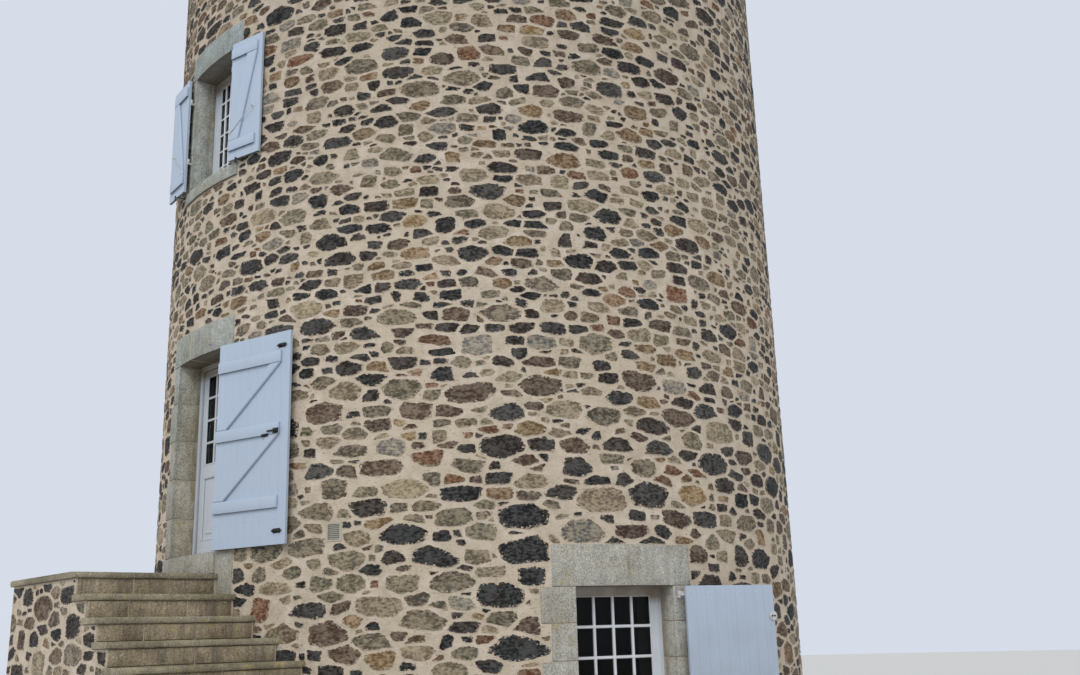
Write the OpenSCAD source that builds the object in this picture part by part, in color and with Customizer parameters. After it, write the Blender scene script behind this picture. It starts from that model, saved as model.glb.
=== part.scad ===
// Round stone mill tower lived in as a house: masonry wall with dressed granite openings,
// glazed door and windows, hinged shutters, entrance stair, floors and a conical cap roof.
// Lengths are in millimetres. The origin is on the tower's axis at the lowest ground, +Z is up,
// the door faces -Y, and an azimuth is turned from there towards +X.

/* [Tower] */
// Outer radius of the masonry wall
tower_r = 3750; // [3500:10:4500]
// Thickness of the masonry wall
wall_t = 900; // [750:10:1100]
// Height of the masonry above the lowest ground
wall_h = 10350; // [9600:10:12500]

/* [Door] */
// Clear width of the door opening
door_w = 1020; // [850:5:1200]
// Clear height of the door opening
door_h = 2065; // [1900:5:2480]
// Height of the door's threshold above the lowest ground
door_z = 2480; // [2450:5:2980]
// Visible width of the door frame's sides
lip = 50; // [35:1:70]
// Thickness of the door frame's stop in front of the leaf
stop_t = 20; // [15:1:35]
// How far the leaf reaches behind the stop
stop_over = 20; // [12:1:30]
// Thickness of the door leaf
leaf_t = 45; // [36:1:54]
// Gap round the door leaf
leaf_gap = 5; // [3:1:8]
// Gap under the door leaf
leaf_foot_gap = 8; // [5:1:15]
// Width of the door leaf's stiles
door_stile = 100; // [85:1:190]
// Height of the door leaf's top rail
door_head_rail = 74; // [60:1:120]
// Height of the door leaf's middle rail
door_lock_rail = 124; // [90:1:180]
// Height of the door leaf's foot rail
door_foot_rail = 172; // [120:1:220]
// Height of the door leaf's lower panel
door_panel_h = 670; // [400:5:800]
// How far the panel is sunk in both faces
panel_sink = 12; // [5:1:15]
// Distance of the hinge line behind the leaf's inner face
door_pivot_out = 8; // [6:1:12]

/* [Upper windows] */
// Clear width of the upper windows
upper_w = 970; // [800:5:1160]
// Clear height of the upper windows
upper_h = 1402; // [1150:2:1700]
// Height of the upper windows' sill
upper_z = 6563; // [6100:1:7200]
// Height of the sill of the window opposite the door
back_z = 3143; // [2900:1:3700]

/* [Lower windows] */
// Clear width of the lower windows
lower_w = 1016; // [840:4:1220]
// Clear height of the lower windows
lower_h = 1300; // [1050:5:1450]
// Height of the lower windows' sill
lower_z = 725; // [600:5:870]
// Azimuth of the lower window that has the shutter
lower_az = 72.2; // [60:0.1:86]

/* [Dressed stone] */
// Depth of the reveal in front of the frames
reveal_d = 240; // [200:5:320]
// How far the dressed stone stands out of the wall face
dress_out = 8; // [4:1:14]
// Width of the joints between dressed blocks
joint = 8; // [5:1:14]
// Number of jamb blocks on each side of the door
door_jamb_n = 5; // [3:1:6]
// Number of jamb blocks on each side of a lower window
lower_jamb_n = 4; // [2:1:5]
// Height of the door's lintel
door_lintel_h = 317; // [240:1:400]
// How far the door's lintel reaches past the opening's far side
door_lintel_far = 190; // [150:1:260]
// How far the door's lintel reaches past the opening's near side
door_lintel_near = 151; // [120:1:260]
// Place of the joint between the lintel's two blocks, from the door's middle
door_lintel_joint = -194; // [-300:1:300]
// How far the door's long jamb blocks reach past the opening's far side
door_jamb_far = 250; // [200:1:320]
// How far the door's long jamb blocks reach past the opening's near side
door_jamb_near = 276; // [200:1:320]
// How much shorter the door's short jamb blocks are
door_jamb_step = 75; // [40:1:110]
// Height of the foot blocks beside the threshold
foot_h = 450; // [300:5:600]
// Height of the threshold stone
threshold_h = 205; // [160:5:240]
// Height of the threshold above the door floor
threshold_rise = 40; // [20:1:80]
// Height of the lintels of the upper windows
upper_lintel_h = 293; // [220:1:380]
// How far the upper windows' lintels reach past the opening
upper_lintel_side = 105; // [95:1:200]
// Width of the upper windows' jamb stones
upper_jamb = 101; // [90:1:180]
// Height of the lintels of the lower windows
lower_lintel_h = 373; // [240:1:420]
// How far the lower windows' lintels reach past the opening
lower_lintel_side = 215; // [150:1:300]
// Width of the lower windows' long jamb blocks
lower_jamb_long = 323; // [240:1:360]
// Width of the lower windows' short jamb blocks
lower_jamb_short = 234; // [180:1:300]
// Width of the shuttered lower window's jamb blocks on the shutter's side
lower_jamb_near = 199; // [150:1:260]
// Height of the window sills
sill_h = 140; // [70:1:180]
// How far the sills reach past the opening
sill_side = 112; // [60:1:200]
// How far the sills and the threshold stand out of the wall face
sill_out = 25; // [15:1:35]
// Depth of the seat that the frames and sills fill
seat_d = 90; // [85:1:120]
// How much wider the inner end of an opening is than its seat, on each side
splay = 120; // [80:5:200]

/* [Windows] */
// Depth of the fixed frames
frame_d = 60; // [50:1:80]
// How far frames reach behind the dressed stone
lap = 30; // [15:1:45]
// Visible width of a fixed frame's sides
frame_side = 45; // [30:1:60]
// Visible height of a fixed frame's head and foot
frame_head = 25; // [15:1:45]
// How far the sash lies behind the frame's face
sash_set = 12; // [5:1:20]
// Width of a sash's sides
sash_side = 62; // [45:1:80]
// Height of a sash's head
sash_head = 55; // [45:1:80]
// Height of a sash's foot
sash_foot = 85; // [55:1:110]
// Thickness of the glass
glass_t = 6; // [4:1:10]

/* [Vent] */
// Azimuth of the vent
vent_az = 30.3; // [28:0.1:40]
// Width of the vent
vent_w = 152; // [120:1:200]
// Height of the vent
vent_h = 172; // [120:1:240]
// Height of the vent's foot
vent_z = 2490; // [2300:5:4000]
// Depth of the vent in the wall
vent_d = 30; // [20:1:60]
// How far the vent stands out of the wall face
vent_out = 6; // [4:1:12]
// Width of the vent's rim
vent_rim = 16; // [10:1:25]
// Number of louvres
louvres = 8; // [4:1:10]

/* [Shutters] */
// Thickness of a shutter's boards
board_t = 30; // [24:1:40]
// Thickness of a shutter's ledges and braces
ledge_t = 26; // [18:1:34]
// Height of a shutter's ledges
ledge_h = 118; // [80:1:140]
// Distance of the ledges from the hinge edge
ledge_in = 10; // [6:1:30]
// Width of a brace along its ledges
brace_w = 150; // [90:1:200]
// Gap round a closed shutter
shutter_gap = 8; // [6:1:16]
// Gap between the upper window's two leaves
meet_gap = 10; // [6:1:16]
// Height of the door shutter's lowest ledge above its foot
door_ledge_low = 340; // [100:5:500]
// Distance of the door shutter's highest ledge from its head
door_ledge_high = 187; // [80:1:400]
// Distance of the door shutter's ledges and straps from its free edge
door_ledge_stop = 108; // [60:1:200]
// Height of the upper shutters' lowest ledge above their foot
upper_ledge_low = 101; // [60:1:200]
// Distance of the upper shutters' highest ledge from their head
upper_ledge_high = 80; // [50:1:200]
// Distance of the upper shutters' ledges and straps from their free edge
upper_ledge_stop = 60; // [40:1:120]
// Gap beside the closed lower shutter
lower_side_gap = 26; // [8:1:40]
// How far the lower shutter's straps stop short of its free edge
lower_strap_stop = 150; // [60:1:300]
// Angle by which the open door shutter turns back to the wall
door_shutter_back = 14.3; // [6:0.1:14.6]
// Angle by which the open right upper shutter turns back
right_shutter_back = 13.6; // [3:0.1:14.2]
// Angle by which the open left upper shutter turns back
left_shutter_back = 5.2; // [1:0.1:12]
// Angle by which the open lower shutter stands forward
lower_shutter_fore = 1.4; // [0:0.1:6]

/* [Shutter irons] */
// How far the pins stand out of the opening's outer edge
pin_out = 45; // [42:1:70]
// How far the door's and upper window's pins lie beside the opening
pin_side = 15; // [12:1:30]
// How far the lower window's pins lie beside the opening
lower_pin_side = 35; // [20:1:60]
// Radius of the hinge pins
pin_r = 7; // [5:0.5:9]
// Gap between a pin and its eye
pin_gap = 0.3; // [0.2:0.05:0.5]
// Outer radius of the eyes
eye_r = 12; // [11:0.5:14]
// Thickness of the straps
strap_t = 5; // [3:0.5:6]
// Height of the straps
strap_w = 40; // [25:1:50]
// Distance of the door shutter's straps from the opening's foot and head
door_strap_in = 250; // [120:5:400]
// Distance of the upper shutters' lower straps from the opening's foot
upper_strap_low = 380; // [250:5:420]
// Distance of the upper shutters' upper straps from the opening's head
upper_strap_high = 280; // [230:5:320]
// Distance of the lower shutter's straps from the opening's foot and head
lower_strap_in = 75; // [60:5:200]
// Thickness of the arms that carry the pins
arm_w = 20; // [14:1:24]
// How far the catches lie below the shutters
catch_drop = 18; // [14:1:30]
// Place of a catch along an upper shutter, from its pin
upper_catch = 189; // [150:1:350]
// Place of the catch along the door shutter, from its pin
door_catch = 703; // [500:1:900]

/* [Floors] */
// Thickness of the ground slab
slab_t = 150; // [100:5:250]
// Thickness of the upper floors
floor_t = 210; // [150:5:300]
// Height of the upper sill above the upper floor
breast_h = 913; // [800:1:1000]

/* [Roof] */
// Slope of the roof
roof_pitch = 42; // [35:1:52]
// Thickness of the roof's boards and slates together
roof_t = 140; // [100:5:200]
// How far the eaves reach past the wall face
eaves_out = 140; // [80:5:250]
// Width of the wall plate
plate_w = 150; // [100:5:200]
// Height of the wall plate at its outer edge
plate_h = 100; // [70:5:160]
// How far the wall plate lies behind the wall face
plate_set = 50; // [20:5:120]
// Radius of the finial's skirt
skirt_r = 260; // [200:5:350]
// Height of the finial above the roof's point
finial_h = 520; // [350:10:700]

/* [Entrance stair] */
// Number of rises from the ground to the threshold
rises = 12; // [10:1:14]
// Going of each step
going = 270; // [240:5:320]
// Width of the stair beyond the tower's face
stair_w = 1300; // [1000:10:1600]
// Distance in front of the axis of the lower steps' inner side
stair_inner = 3150; // [3000:10:3300]
// Thickness of the treads
tread_t = 60; // [40:1:80]
// How far the treads reach past the masonry
nosing = 30; // [15:1:45]
// Distance of the landing's far end from the door's middle
landing_far = 1100; // [1040:10:1400]
// Distance of the landing's near end from the door's middle
landing_near = 560; // [540:10:900]

/* [Hidden] */
round_fn = 256;
small_fn = 48;
bed = 1;
seam = 0.01;
bay_half = 22.5;
past = 20;
far = tower_r + 200;
inner_r = tower_r - wall_t;
room_y = inner_r - 250;
door_top = door_z + door_h;
upper_top = upper_z + upper_h;
lower_top = lower_z + lower_h;
door_floor_z = door_z - threshold_rise;
upper_floor_z = upper_z - breast_h;
rise = door_z / rises;
steps = rises - 2;
stair_y = tower_r + stair_w;
plate_r = tower_r - plate_set;
eaves_r = tower_r + eaves_out;
roof_z = wall_h + plate_h;
roof_slope = tan(roof_pitch);
door_frame_d = stop_t + leaf_gap + leaf_t - 3;
leaf_half = door_w / 2 - lip + stop_over - leaf_gap;
leaf_z = door_z + leaf_foot_gap;
leaf_top = door_top - lip + stop_over - leaf_gap;
light_half = leaf_half - door_stile;
light_z = leaf_z + door_foot_rail + door_panel_h + door_lock_rail;
light_top = leaf_top - door_head_rail;
knuckle_r = door_pivot_out - 1;
door_hinges = [leaf_z + 250, (leaf_z + leaf_top) / 2, leaf_top - 250];
door_shutter_w = door_w - 2 * shutter_gap;
door_shutter_h = door_h - 2 * shutter_gap;
upper_shutter_w = upper_w / 2 - shutter_gap - meet_gap / 2;
upper_shutter_h = upper_h - 2 * shutter_gap;
lower_shutter_w = lower_w - 2 * lower_side_gap;
upper_margins = [upper_lintel_side, upper_jamb, upper_jamb, upper_jamb, upper_jamb];
lower_margins = [lower_lintel_side, lower_jamb_long, lower_jamb_short, lower_jamb_near, lower_jamb_near];
back_margins = [lower_lintel_side, lower_jamb_long, lower_jamb_short, lower_jamb_long, lower_jamb_short];

// Distance in front of the axis of the outer edges of an opening of width w
function edge_y(w) = sqrt(tower_r * tower_r - w * w / 4);

// Distance in front of the axis of the frame's outer face in an opening of width w
function frame_y(w) = edge_y(w) - reveal_d;

// Boxes [x0, x1, z0, z1] of a jamb of n blocks, long and short by turns, with gap j between them
function jamb(w, z0, h, n, side, long, short, j) = [
  for (i = [0:n - 1])
    let (
      m = i % 2 == 0 ? short : long,
      low = z0 + i * h / n + j / 2,
      top = z0 + (i + 1) * h / n - j / 2
    )
    side > 0 ? [w / 2, w / 2 + m, low, top] : [-w / 2 - m, -w / 2, low, top]
];

// Boxes of the door's jambs above the threshold, and the foot blocks beside it
function door_jamb_boxes(j) = concat(
  jamb(door_w, door_z, door_h, door_jamb_n, -1, door_jamb_far, door_jamb_far - door_jamb_step, j),
  jamb(door_w, door_z, door_h, door_jamb_n, 1, door_jamb_near, door_jamb_near - door_jamb_step, j),
  [
    [-door_w / 2 - door_jamb_far, -door_w / 2 - j, door_z - foot_h, door_z - j / 2],
    [door_w / 2 + j, door_w / 2 + door_jamb_near, door_z - foot_h, door_z - j / 2]
  ]
);

// Boxes of the door's two lintel blocks
function door_lintel_boxes(j) = [
  [-door_w / 2 - door_lintel_far, door_lintel_joint - j / 2, door_top, door_top + door_lintel_h],
  [door_lintel_joint + j / 2, door_w / 2 + door_lintel_near, door_top, door_top + door_lintel_h]
];

// Box of the door's threshold
function threshold_boxes() = [
  [-door_w / 2, door_w / 2, door_z - min(threshold_h, rise - bed), door_z]
];

// Boxes of a window's lintel and jambs; m lists how far the lintel, the left jamb's long and short
// blocks and the right jamb's long and short blocks reach past the opening
function window_boxes(w, z0, h, lintel_h, n, m, j) = concat(
  [[-w / 2 - m[0], w / 2 + m[0], z0 + h, z0 + h + lintel_h]],
  jamb(w, z0, h, n, -1, m[1], m[2], j),
  jamb(w, z0, h, n, 1, m[3], m[4], j)
);

// Box of a window's sill
function sill_boxes(w, z0) = [[-w / 2 - sill_side, w / 2 + sill_side, z0 - sill_h, z0]];

// Turns what faces -Y to an azimuth
module turned(az) {
  rotate([0, 0, az]) children();
}

// Part of the tower wall between two azimuths and two heights
module wall_part(az0, az1, z0, z1) {
  rotate([0, 0, az0 + seam / 2 - 90])
    rotate_extrude(angle = az1 - az0 - seam, $fn = round_fn)
      translate([inner_r, z0]) square([wall_t, z1 - z0]);
}

// Boxes that cut a piece between heights z0 and z1, run past its ends where they reach them
function cutting(boxes, z0, z1) = [
  for (b = boxes)
    if (b[3] > z0 && b[2] < z1)
      [b[0], b[1], b[2] <= z0 ? z0 - past : b[2], b[3] >= z1 ? z1 + past : b[3]]
];

// Room in the wall for blocks of an opening of width w, extra deeper than the reveal
module pockets(w, boxes, extra = 0) {
  for (b = boxes)
    translate([b[0], -far, b[2]])
      cube([b[1] - b[0], far - frame_y(w) + extra, b[3] - b[2]]);
}

// Dressed blocks of an opening of width w, their faces curved with the wall
module blocks(w, boxes, out = dress_out, extra = 0) {
  for (b = boxes)
    intersection() {
      pockets(w, [b], extra - bed);
      translate([0, 0, b[2] + bed]) cylinder(h = b[3] - b[2], r = tower_r + out, $fn = round_fn);
    }
}

// The way through the wall: the reveal, the frame's seat and the splay to the room
module way_through(w, z0, h, low, high, drop = 0) {
  y = frame_y(w);
  half = w / 2 + lap;
  pockets(w, cutting([[-w / 2, w / 2, z0, z0 + h]], low, high), 1);
  pockets_behind(w, cutting([[-half, half, z0, z0 + h + lap]], low, high));
  for (b = cutting([[0, 0, z0 - drop, z0 + h + lap]], low, high))
    translate([0, 0, b[2]]) linear_extrude(b[3] - b[2])
      polygon([
        [-half, -y + seat_d], [half, -y + seat_d], [half + splay, -room_y], [-half - splay, -room_y]
      ]);
}

// Seats behind the reveal for the frame of an opening of width w
module pockets_behind(w, boxes) {
  for (b = boxes)
    translate([b[0], -frame_y(w), b[2]]) cube([b[1] - b[0], seat_d + 1, b[3] - b[2]]);
}

// All that the front bay's masonry leaves free between two heights
module front_voids(low, high) {
  way_through(door_w, door_z, door_h, low, high, threshold_rise);
  way_through(upper_w, upper_z, upper_h, low, high);
  pockets(door_w, cutting(concat(door_jamb_boxes(joint), door_lintel_boxes(joint)), low, high));
  pockets(door_w, cutting(threshold_boxes(), low, high), seat_d);
  window_pockets(upper_w, upper_z, upper_h, upper_lintel_h, 1, upper_margins, low, high);
}

// Room for a window's dressed stone between two heights
module window_pockets(w, z0, h, lintel_h, n, m, low, high) {
  pockets(w, cutting(window_boxes(w, z0, h, lintel_h, n, m, joint), low, high));
  pockets(w, cutting(sill_boxes(w, z0), low, high), seat_d);
}

// What a window leaves free in a bay of the wall's full height
module window_voids(w, z0, h, lintel_h, n, m) {
  way_through(w, z0, h, 0, wall_h);
  window_pockets(w, z0, h, lintel_h, n, m, 0, wall_h);
}

// One height of the front bay
module front_wall(z0, z1) {
  color("tan") difference() {
    wall_part(-bay_half, bay_half, z0, z1);
    front_voids(z0, z1);
  }
}

module wall_below_door() {
  front_wall(0, door_z);
}

module wall_beside_door() {
  front_wall(door_z, door_top);
}

module wall_above_door() {
  front_wall(door_top, upper_z);
}

module wall_beside_upper_window() {
  front_wall(upper_z, upper_top);
}

module wall_above_upper_window() {
  front_wall(upper_top, wall_h);
}

// Plain stretch between the front bay and the lower window's bay, with the vent's recess
module wall_near() {
  color("tan") difference() {
    wall_part(bay_half, lower_az - bay_half, 0, wall_h);
    turned(vent_az)
      translate([-vent_w / 2, -far, vent_z]) cube([vent_w, far - tower_r + vent_d, vent_h]);
  }
}

module wall_lower_window_bay() {
  color("tan") difference() {
    wall_part(lower_az - bay_half, lower_az + bay_half, 0, wall_h);
    turned(lower_az) window_voids(lower_w, lower_z, lower_h, lower_lintel_h, lower_jamb_n, lower_margins);
  }
}

module wall_right() {
  color("tan") wall_part(lower_az + bay_half, 180 - bay_half, 0, wall_h);
}

module wall_back_bay() {
  color("tan") difference() {
    wall_part(180 - bay_half, 180 + bay_half, 0, wall_h);
    turned(180) {
      window_voids(upper_w, back_z, upper_h, upper_lintel_h, 1, upper_margins);
      window_voids(upper_w, upper_z, upper_h, upper_lintel_h, 1, upper_margins);
    }
  }
}

module wall_rear() {
  color("tan") wall_part(180 + bay_half, 180 + lower_az - bay_half, 0, wall_h);
}

module wall_back_lower_bay() {
  color("tan") difference() {
    wall_part(180 + lower_az - bay_half, 180 + lower_az + bay_half, 0, wall_h);
    turned(180 + lower_az)
      window_voids(lower_w, lower_z, lower_h, lower_lintel_h, lower_jamb_n, back_margins);
  }
}

module wall_far() {
  color("tan") wall_part(180 + lower_az + bay_half, 360 - bay_half, 0, wall_h);
}

module door_lintel() {
  color("darkgray") blocks(door_w, door_lintel_boxes(joint));
}

module door_jambs() {
  color("darkgray") blocks(door_w, door_jamb_boxes(joint));
}

module door_threshold() {
  color("darkgray") blocks(door_w, threshold_boxes(), sill_out, seat_d);
}

// Lintel, jamb blocks and sill of a window
module window_surround(w, z0, h, lintel_h, n, m) {
  blocks(w, window_boxes(w, z0, h, lintel_h, n, m, joint));
  blocks(w, sill_boxes(w, z0), sill_out, seat_d);
}

module upper_window_surround() {
  color("darkgray") window_surround(upper_w, upper_z, upper_h, upper_lintel_h, 1, upper_margins);
}

module lower_window_surround() {
  color("darkgray") turned(lower_az)
    window_surround(lower_w, lower_z, lower_h, lower_lintel_h, lower_jamb_n, lower_margins);
}

module back_window_surrounds() {
  color("darkgray") {
    turned(180) window_surround(upper_w, back_z, upper_h, upper_lintel_h, 1, upper_margins);
    turned(180) window_surround(upper_w, upper_z, upper_h, upper_lintel_h, 1, upper_margins);
    turned(180 + lower_az)
      window_surround(lower_w, lower_z, lower_h, lower_lintel_h, lower_jamb_n, back_margins);
  }
}

// A floor disc that fills the tower
module floor_disc(top, t) {
  translate([0, 0, top - t]) cylinder(h = t, r = inner_r - bed, $fn = round_fn);
}

module ground_floor() {
  color("gray") floor_disc(slab_t, slab_t);
}

module door_floor() {
  color("burlywood") floor_disc(door_floor_z, floor_t);
}

module upper_floor() {
  color("burlywood") floor_disc(upper_floor_z, floor_t);
}

// Timber ring on the wall, its top cut to the roof's slope
module wall_plate() {
  inner = plate_r - plate_w;
  color("saddlebrown") rotate_extrude($fn = round_fn)
    polygon([
      [inner, wall_h + bed], [plate_r, wall_h + bed], [plate_r, roof_z - bed],
      [inner, roof_z + plate_w * roof_slope - bed]
    ]);
}

// Conical roof shell on the wall plate
module roof() {
  thick = roof_t / cos(roof_pitch);
  peak = roof_z + plate_r * roof_slope;
  eaves_z = roof_z - (eaves_r - plate_r) * roof_slope;
  color("dimgray") rotate_extrude($fn = round_fn)
    polygon([[0, peak], [eaves_r, eaves_z], [eaves_r, eaves_z + thick], [0, peak + thick]]);
}

// Turned metal cap and spike on the roof's point
module finial() {
  tip = roof_z + plate_r * roof_slope + roof_t / cos(roof_pitch);
  foot = tip - skirt_r * roof_slope;
  color("silver") rotate_extrude($fn = small_fn)
    polygon([
      [0, tip], [skirt_r, foot], [skirt_r + 8, foot + 14], [70, tip + 30], [55, tip + 60],
      [80, tip + 95], [88, tip + 130], [80, tip + 165], [40, tip + 200], [24, tip + 240],
      [8, tip + finial_h], [0, tip + finial_h]
    ]);
}

// Distance in front of the axis of the door leaf's outer face
function leaf_y() = frame_y(door_w) - stop_t - leaf_gap;

// Half of each of the door's lift-off hinges, from a height up, its plate between x0 and x1 and
// from the plane y0 to the barrel
module knuckles(x0, x1, y0, from) {
  y = -leaf_y() + leaf_t + door_pivot_out;
  for (z = door_hinges)
    translate([0, 0, z + from]) {
      translate([-leaf_half - 2, y, 0]) cylinder(h = 49, r = knuckle_r, $fn = small_fn);
      translate([x0, y0, 0]) cube([x1 - x0, y - door_pivot_out + 3 - y0, 49]);
    }
}

// Door frame, open at its foot, with a stop in front of the leaf and the hinges' upper halves
module door_frame() {
  y = frame_y(door_w);
  clear = door_w / 2 - lip;
  rebate = clear + stop_over;
  color("white") {
    difference() {
      translate([-door_w / 2 - lap, -y, door_z]) cube([door_w + 2 * lap, door_frame_d, door_h + lap]);
      translate([-clear, -y - 1, door_z - 1]) cube([2 * clear, door_frame_d + 2, door_h - lip + 1]);
      translate([-rebate, -y + stop_t, door_z - 1])
        cube([2 * rebate, door_frame_d, door_h - lip + stop_over + 1]);
    }
    knuckles(-rebate - 30, -rebate, door_frame_d - y - 1, 0.5);
  }
}

// Door leaf with a glazed upper part and a sunk lower panel, and the hinges' lower halves
module door_leaf() {
  y = leaf_y();
  color("white") {
    difference() {
      translate([-leaf_half, -y, leaf_z]) cube([2 * leaf_half, leaf_t, leaf_top - leaf_z]);
      translate([-light_half, -y - 1, light_z])
        cube([2 * light_half, leaf_t + 2, light_top - light_z]);
      for (face = [panel_sink - leaf_t, leaf_t - panel_sink])
        translate([-light_half, -y + face, leaf_z + door_foot_rail])
          cube([2 * light_half, leaf_t, door_panel_h]);
    }
    knuckles(-leaf_half, 30 - leaf_half, leaf_t - y - 1, -49.5);
  }
}

module door_glass() {
  color("lightblue", 0.4) translate([-light_half, -leaf_y() + (leaf_t - glass_t) / 2, light_z])
    cube([2 * light_half, glass_t, light_top - light_z]);
}

// Half width of the glass in an opening of width w
function pane_half(w) = w / 2 - frame_side - sash_side;

// Height of the glass in an opening of height h
function pane_h(h) = h - 2 * frame_head - sash_foot - sash_head;

// Fixed frame of a window with its sash set back in it
module window_frame(w, z0, h) {
  y = frame_y(w);
  sash_half = w / 2 - frame_side;
  difference() {
    translate([-w / 2 - lap, -y, z0]) cube([w + 2 * lap, frame_d, h + lap]);
    translate([-sash_half, -y - 1, z0 + frame_head])
      cube([2 * sash_half, sash_set + 1, h - 2 * frame_head]);
    translate([-pane_half(w), -y - 1, z0 + frame_head + sash_foot])
      cube([2 * pane_half(w), frame_d + 2, pane_h(h)]);
  }
}

// The sheet of glass in a window's sash
module window_pane(w, z0, h) {
  y = frame_y(w) - (sash_set + frame_d - glass_t) / 2;
  translate([-pane_half(w), -y, z0 + frame_head + sash_foot])
    cube([2 * pane_half(w), glass_t, pane_h(h)]);
}

module upper_window_frame() {
  color("white") window_frame(upper_w, upper_z, upper_h);
}

module lower_window_frame() {
  color("white") turned(lower_az) window_frame(lower_w, lower_z, lower_h);
}

module back_window_frames() {
  color("white") {
    turned(180) window_frame(upper_w, back_z, upper_h);
    turned(180) window_frame(upper_w, upper_z, upper_h);
    turned(180 + lower_az) window_frame(lower_w, lower_z, lower_h);
  }
}

module window_glass() {
  color("lightblue", 0.4) {
    window_pane(upper_w, upper_z, upper_h);
    turned(lower_az) window_pane(lower_w, lower_z, lower_h);
    turned(180) window_pane(upper_w, back_z, upper_h);
    turned(180) window_pane(upper_w, upper_z, upper_h);
    turned(180 + lower_az) window_pane(lower_w, lower_z, lower_h);
  }
}

// A brace from the hinge end of one ledge up to the free end of the next
module brace(x0, x1, z0, z1) {
  translate([0, -board_t, 0]) rotate([90, 0, 0]) linear_extrude(ledge_t)
    polygon([[x0, z0], [x0 + brace_w, z0], [x1, z1], [x1 - brace_w, z1]]);
}

// A boarded leaf: the pin is at the origin, the leaf runs along +X from a past the pin, its plain
// face is towards the wall, ledges lists the heights of the ledges' feet, and stop is their distance
// from the free edge
module leaf(a, w, z0, h, ledges, stop) {
  x0 = a + ledge_in;
  x1 = a + w - stop;
  translate([a, -board_t, z0]) cube([w, board_t, h]);
  for (z = ledges)
    translate([x0, -board_t - ledge_t, z0 + z]) cube([x1 - x0, ledge_t, ledge_h]);
  if (len(ledges) > 1)
    for (i = [0:len(ledges) - 2])
      brace(x0, x1, z0 + ledges[i] + ledge_h, z0 + ledges[i + 1]);
}

// Strap hinges on the plain face, each with an eye round the pin
module straps(reach, heights) {
  for (z = heights)
    translate([0, 0, z - strap_w / 2])
      difference() {
        union() {
          cylinder(h = strap_w, r = eye_r, $fn = small_fn);
          translate([pin_r, 0, 0]) cube([reach - pin_r, strap_t, strap_w]);
        }
        translate([0, 0, -1]) cylinder(h = strap_w + 2, r = pin_r + pin_gap, $fn = small_fn);
      }
}

// Heights of the ledges' feet above the foot of a leaf of height h
door_ledge_top = door_shutter_h - door_ledge_high - ledge_h;
door_ledges = [door_ledge_low, (door_ledge_low + door_ledge_top) / 2, door_ledge_top];
upper_ledges = [upper_ledge_low, upper_shutter_h - upper_ledge_high - ledge_h];

// Heights of the middles of the straps of each shutter
door_straps = [door_z + door_strap_in, door_top - door_strap_in];
upper_straps = [upper_z + upper_strap_low, upper_top - upper_strap_high];
lower_straps = [lower_z + lower_strap_in, lower_top - lower_strap_in];

// Distance from the pin to the leaf's hinge edge
hinge_in = pin_side + shutter_gap;
lower_hinge_in = lower_pin_side + lower_side_gap;

// Puts a leaf that is drawn from its pin beside an opening of width w, on one side, turned back
module hung(w, side, out, beside, back) {
  translate([side * (w / 2 + beside), -edge_y(w) - out, 0])
    mirror([side < 0 ? 1 : 0, 0, 0]) rotate([0, 0, back]) children();
}

module door_shutter() {
  color("aliceblue") hung(door_w, 1, pin_out, pin_side, door_shutter_back)
    leaf(hinge_in, door_shutter_w, door_z + shutter_gap, door_shutter_h, door_ledges, door_ledge_stop);
}

module door_shutter_straps() {
  color("aliceblue") hung(door_w, 1, pin_out, pin_side, door_shutter_back)
    straps(hinge_in + door_shutter_w - door_ledge_stop, door_straps);
}

// One leaf of the upper window's pair
module upper_leaf(side, back) {
  hung(upper_w, side, pin_out, pin_side, back)
    leaf(hinge_in, upper_shutter_w, upper_z + shutter_gap, upper_shutter_h, upper_ledges, upper_ledge_stop);
}

// The straps of one leaf of the upper window's pair
module upper_strap_pair(side, back) {
  hung(upper_w, side, pin_out, pin_side, back)
    straps(hinge_in + upper_shutter_w - upper_ledge_stop, upper_straps);
}

module upper_left_shutter() {
  color("aliceblue") upper_leaf(-1, left_shutter_back);
}

module upper_left_straps() {
  color("aliceblue") upper_strap_pair(-1, left_shutter_back);
}

module upper_right_shutter() {
  color("aliceblue") upper_leaf(1, right_shutter_back);
}

module upper_right_straps() {
  color("aliceblue") upper_strap_pair(1, right_shutter_back);
}

module lower_shutter() {
  color("aliceblue") turned(lower_az)
    hung(lower_w, 1, pin_out, lower_pin_side, -lower_shutter_fore)
      leaf(lower_hinge_in, lower_shutter_w, lower_z + shutter_gap, lower_h - 2 * shutter_gap, [], 0);
}

module lower_shutter_straps() {
  color("aliceblue") turned(lower_az)
    hung(lower_w, 1, pin_out, lower_pin_side, -lower_shutter_fore)
      straps(lower_hinge_in + lower_shutter_w - lower_strap_stop, lower_straps);
}

// Pins with their arms from the jamb, under each eye
module pins(w, side, out, beside, heights) {
  x = side * (w / 2 + beside);
  y = -edge_y(w) - out;
  for (z = heights)
    difference() {
      union() {
        translate([x, y, z - strap_w / 2 - arm_w - 1])
          cylinder(h = strap_w + arm_w + 5, r = pin_r, $fn = small_fn);
        translate([x - arm_w / 2, y - arm_w / 2, z - strap_w / 2 - arm_w - 1])
          cube([arm_w, out + arm_w / 2 + 60, arm_w]);
      }
      translate([0, 0, z - strap_w - arm_w])
        cylinder(h = 2 * strap_w + arm_w, r = tower_r + dress_out + bed, $fn = round_fn);
    }
}

module shutter_pins() {
  color("whitesmoke") {
    pins(door_w, 1, pin_out, pin_side, door_straps);
    pins(upper_w, 1, pin_out, pin_side, upper_straps);
    pins(upper_w, -1, pin_out, pin_side, upper_straps);
    turned(lower_az) pins(lower_w, 1, pin_out, lower_pin_side, lower_straps);
  }
}

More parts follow.
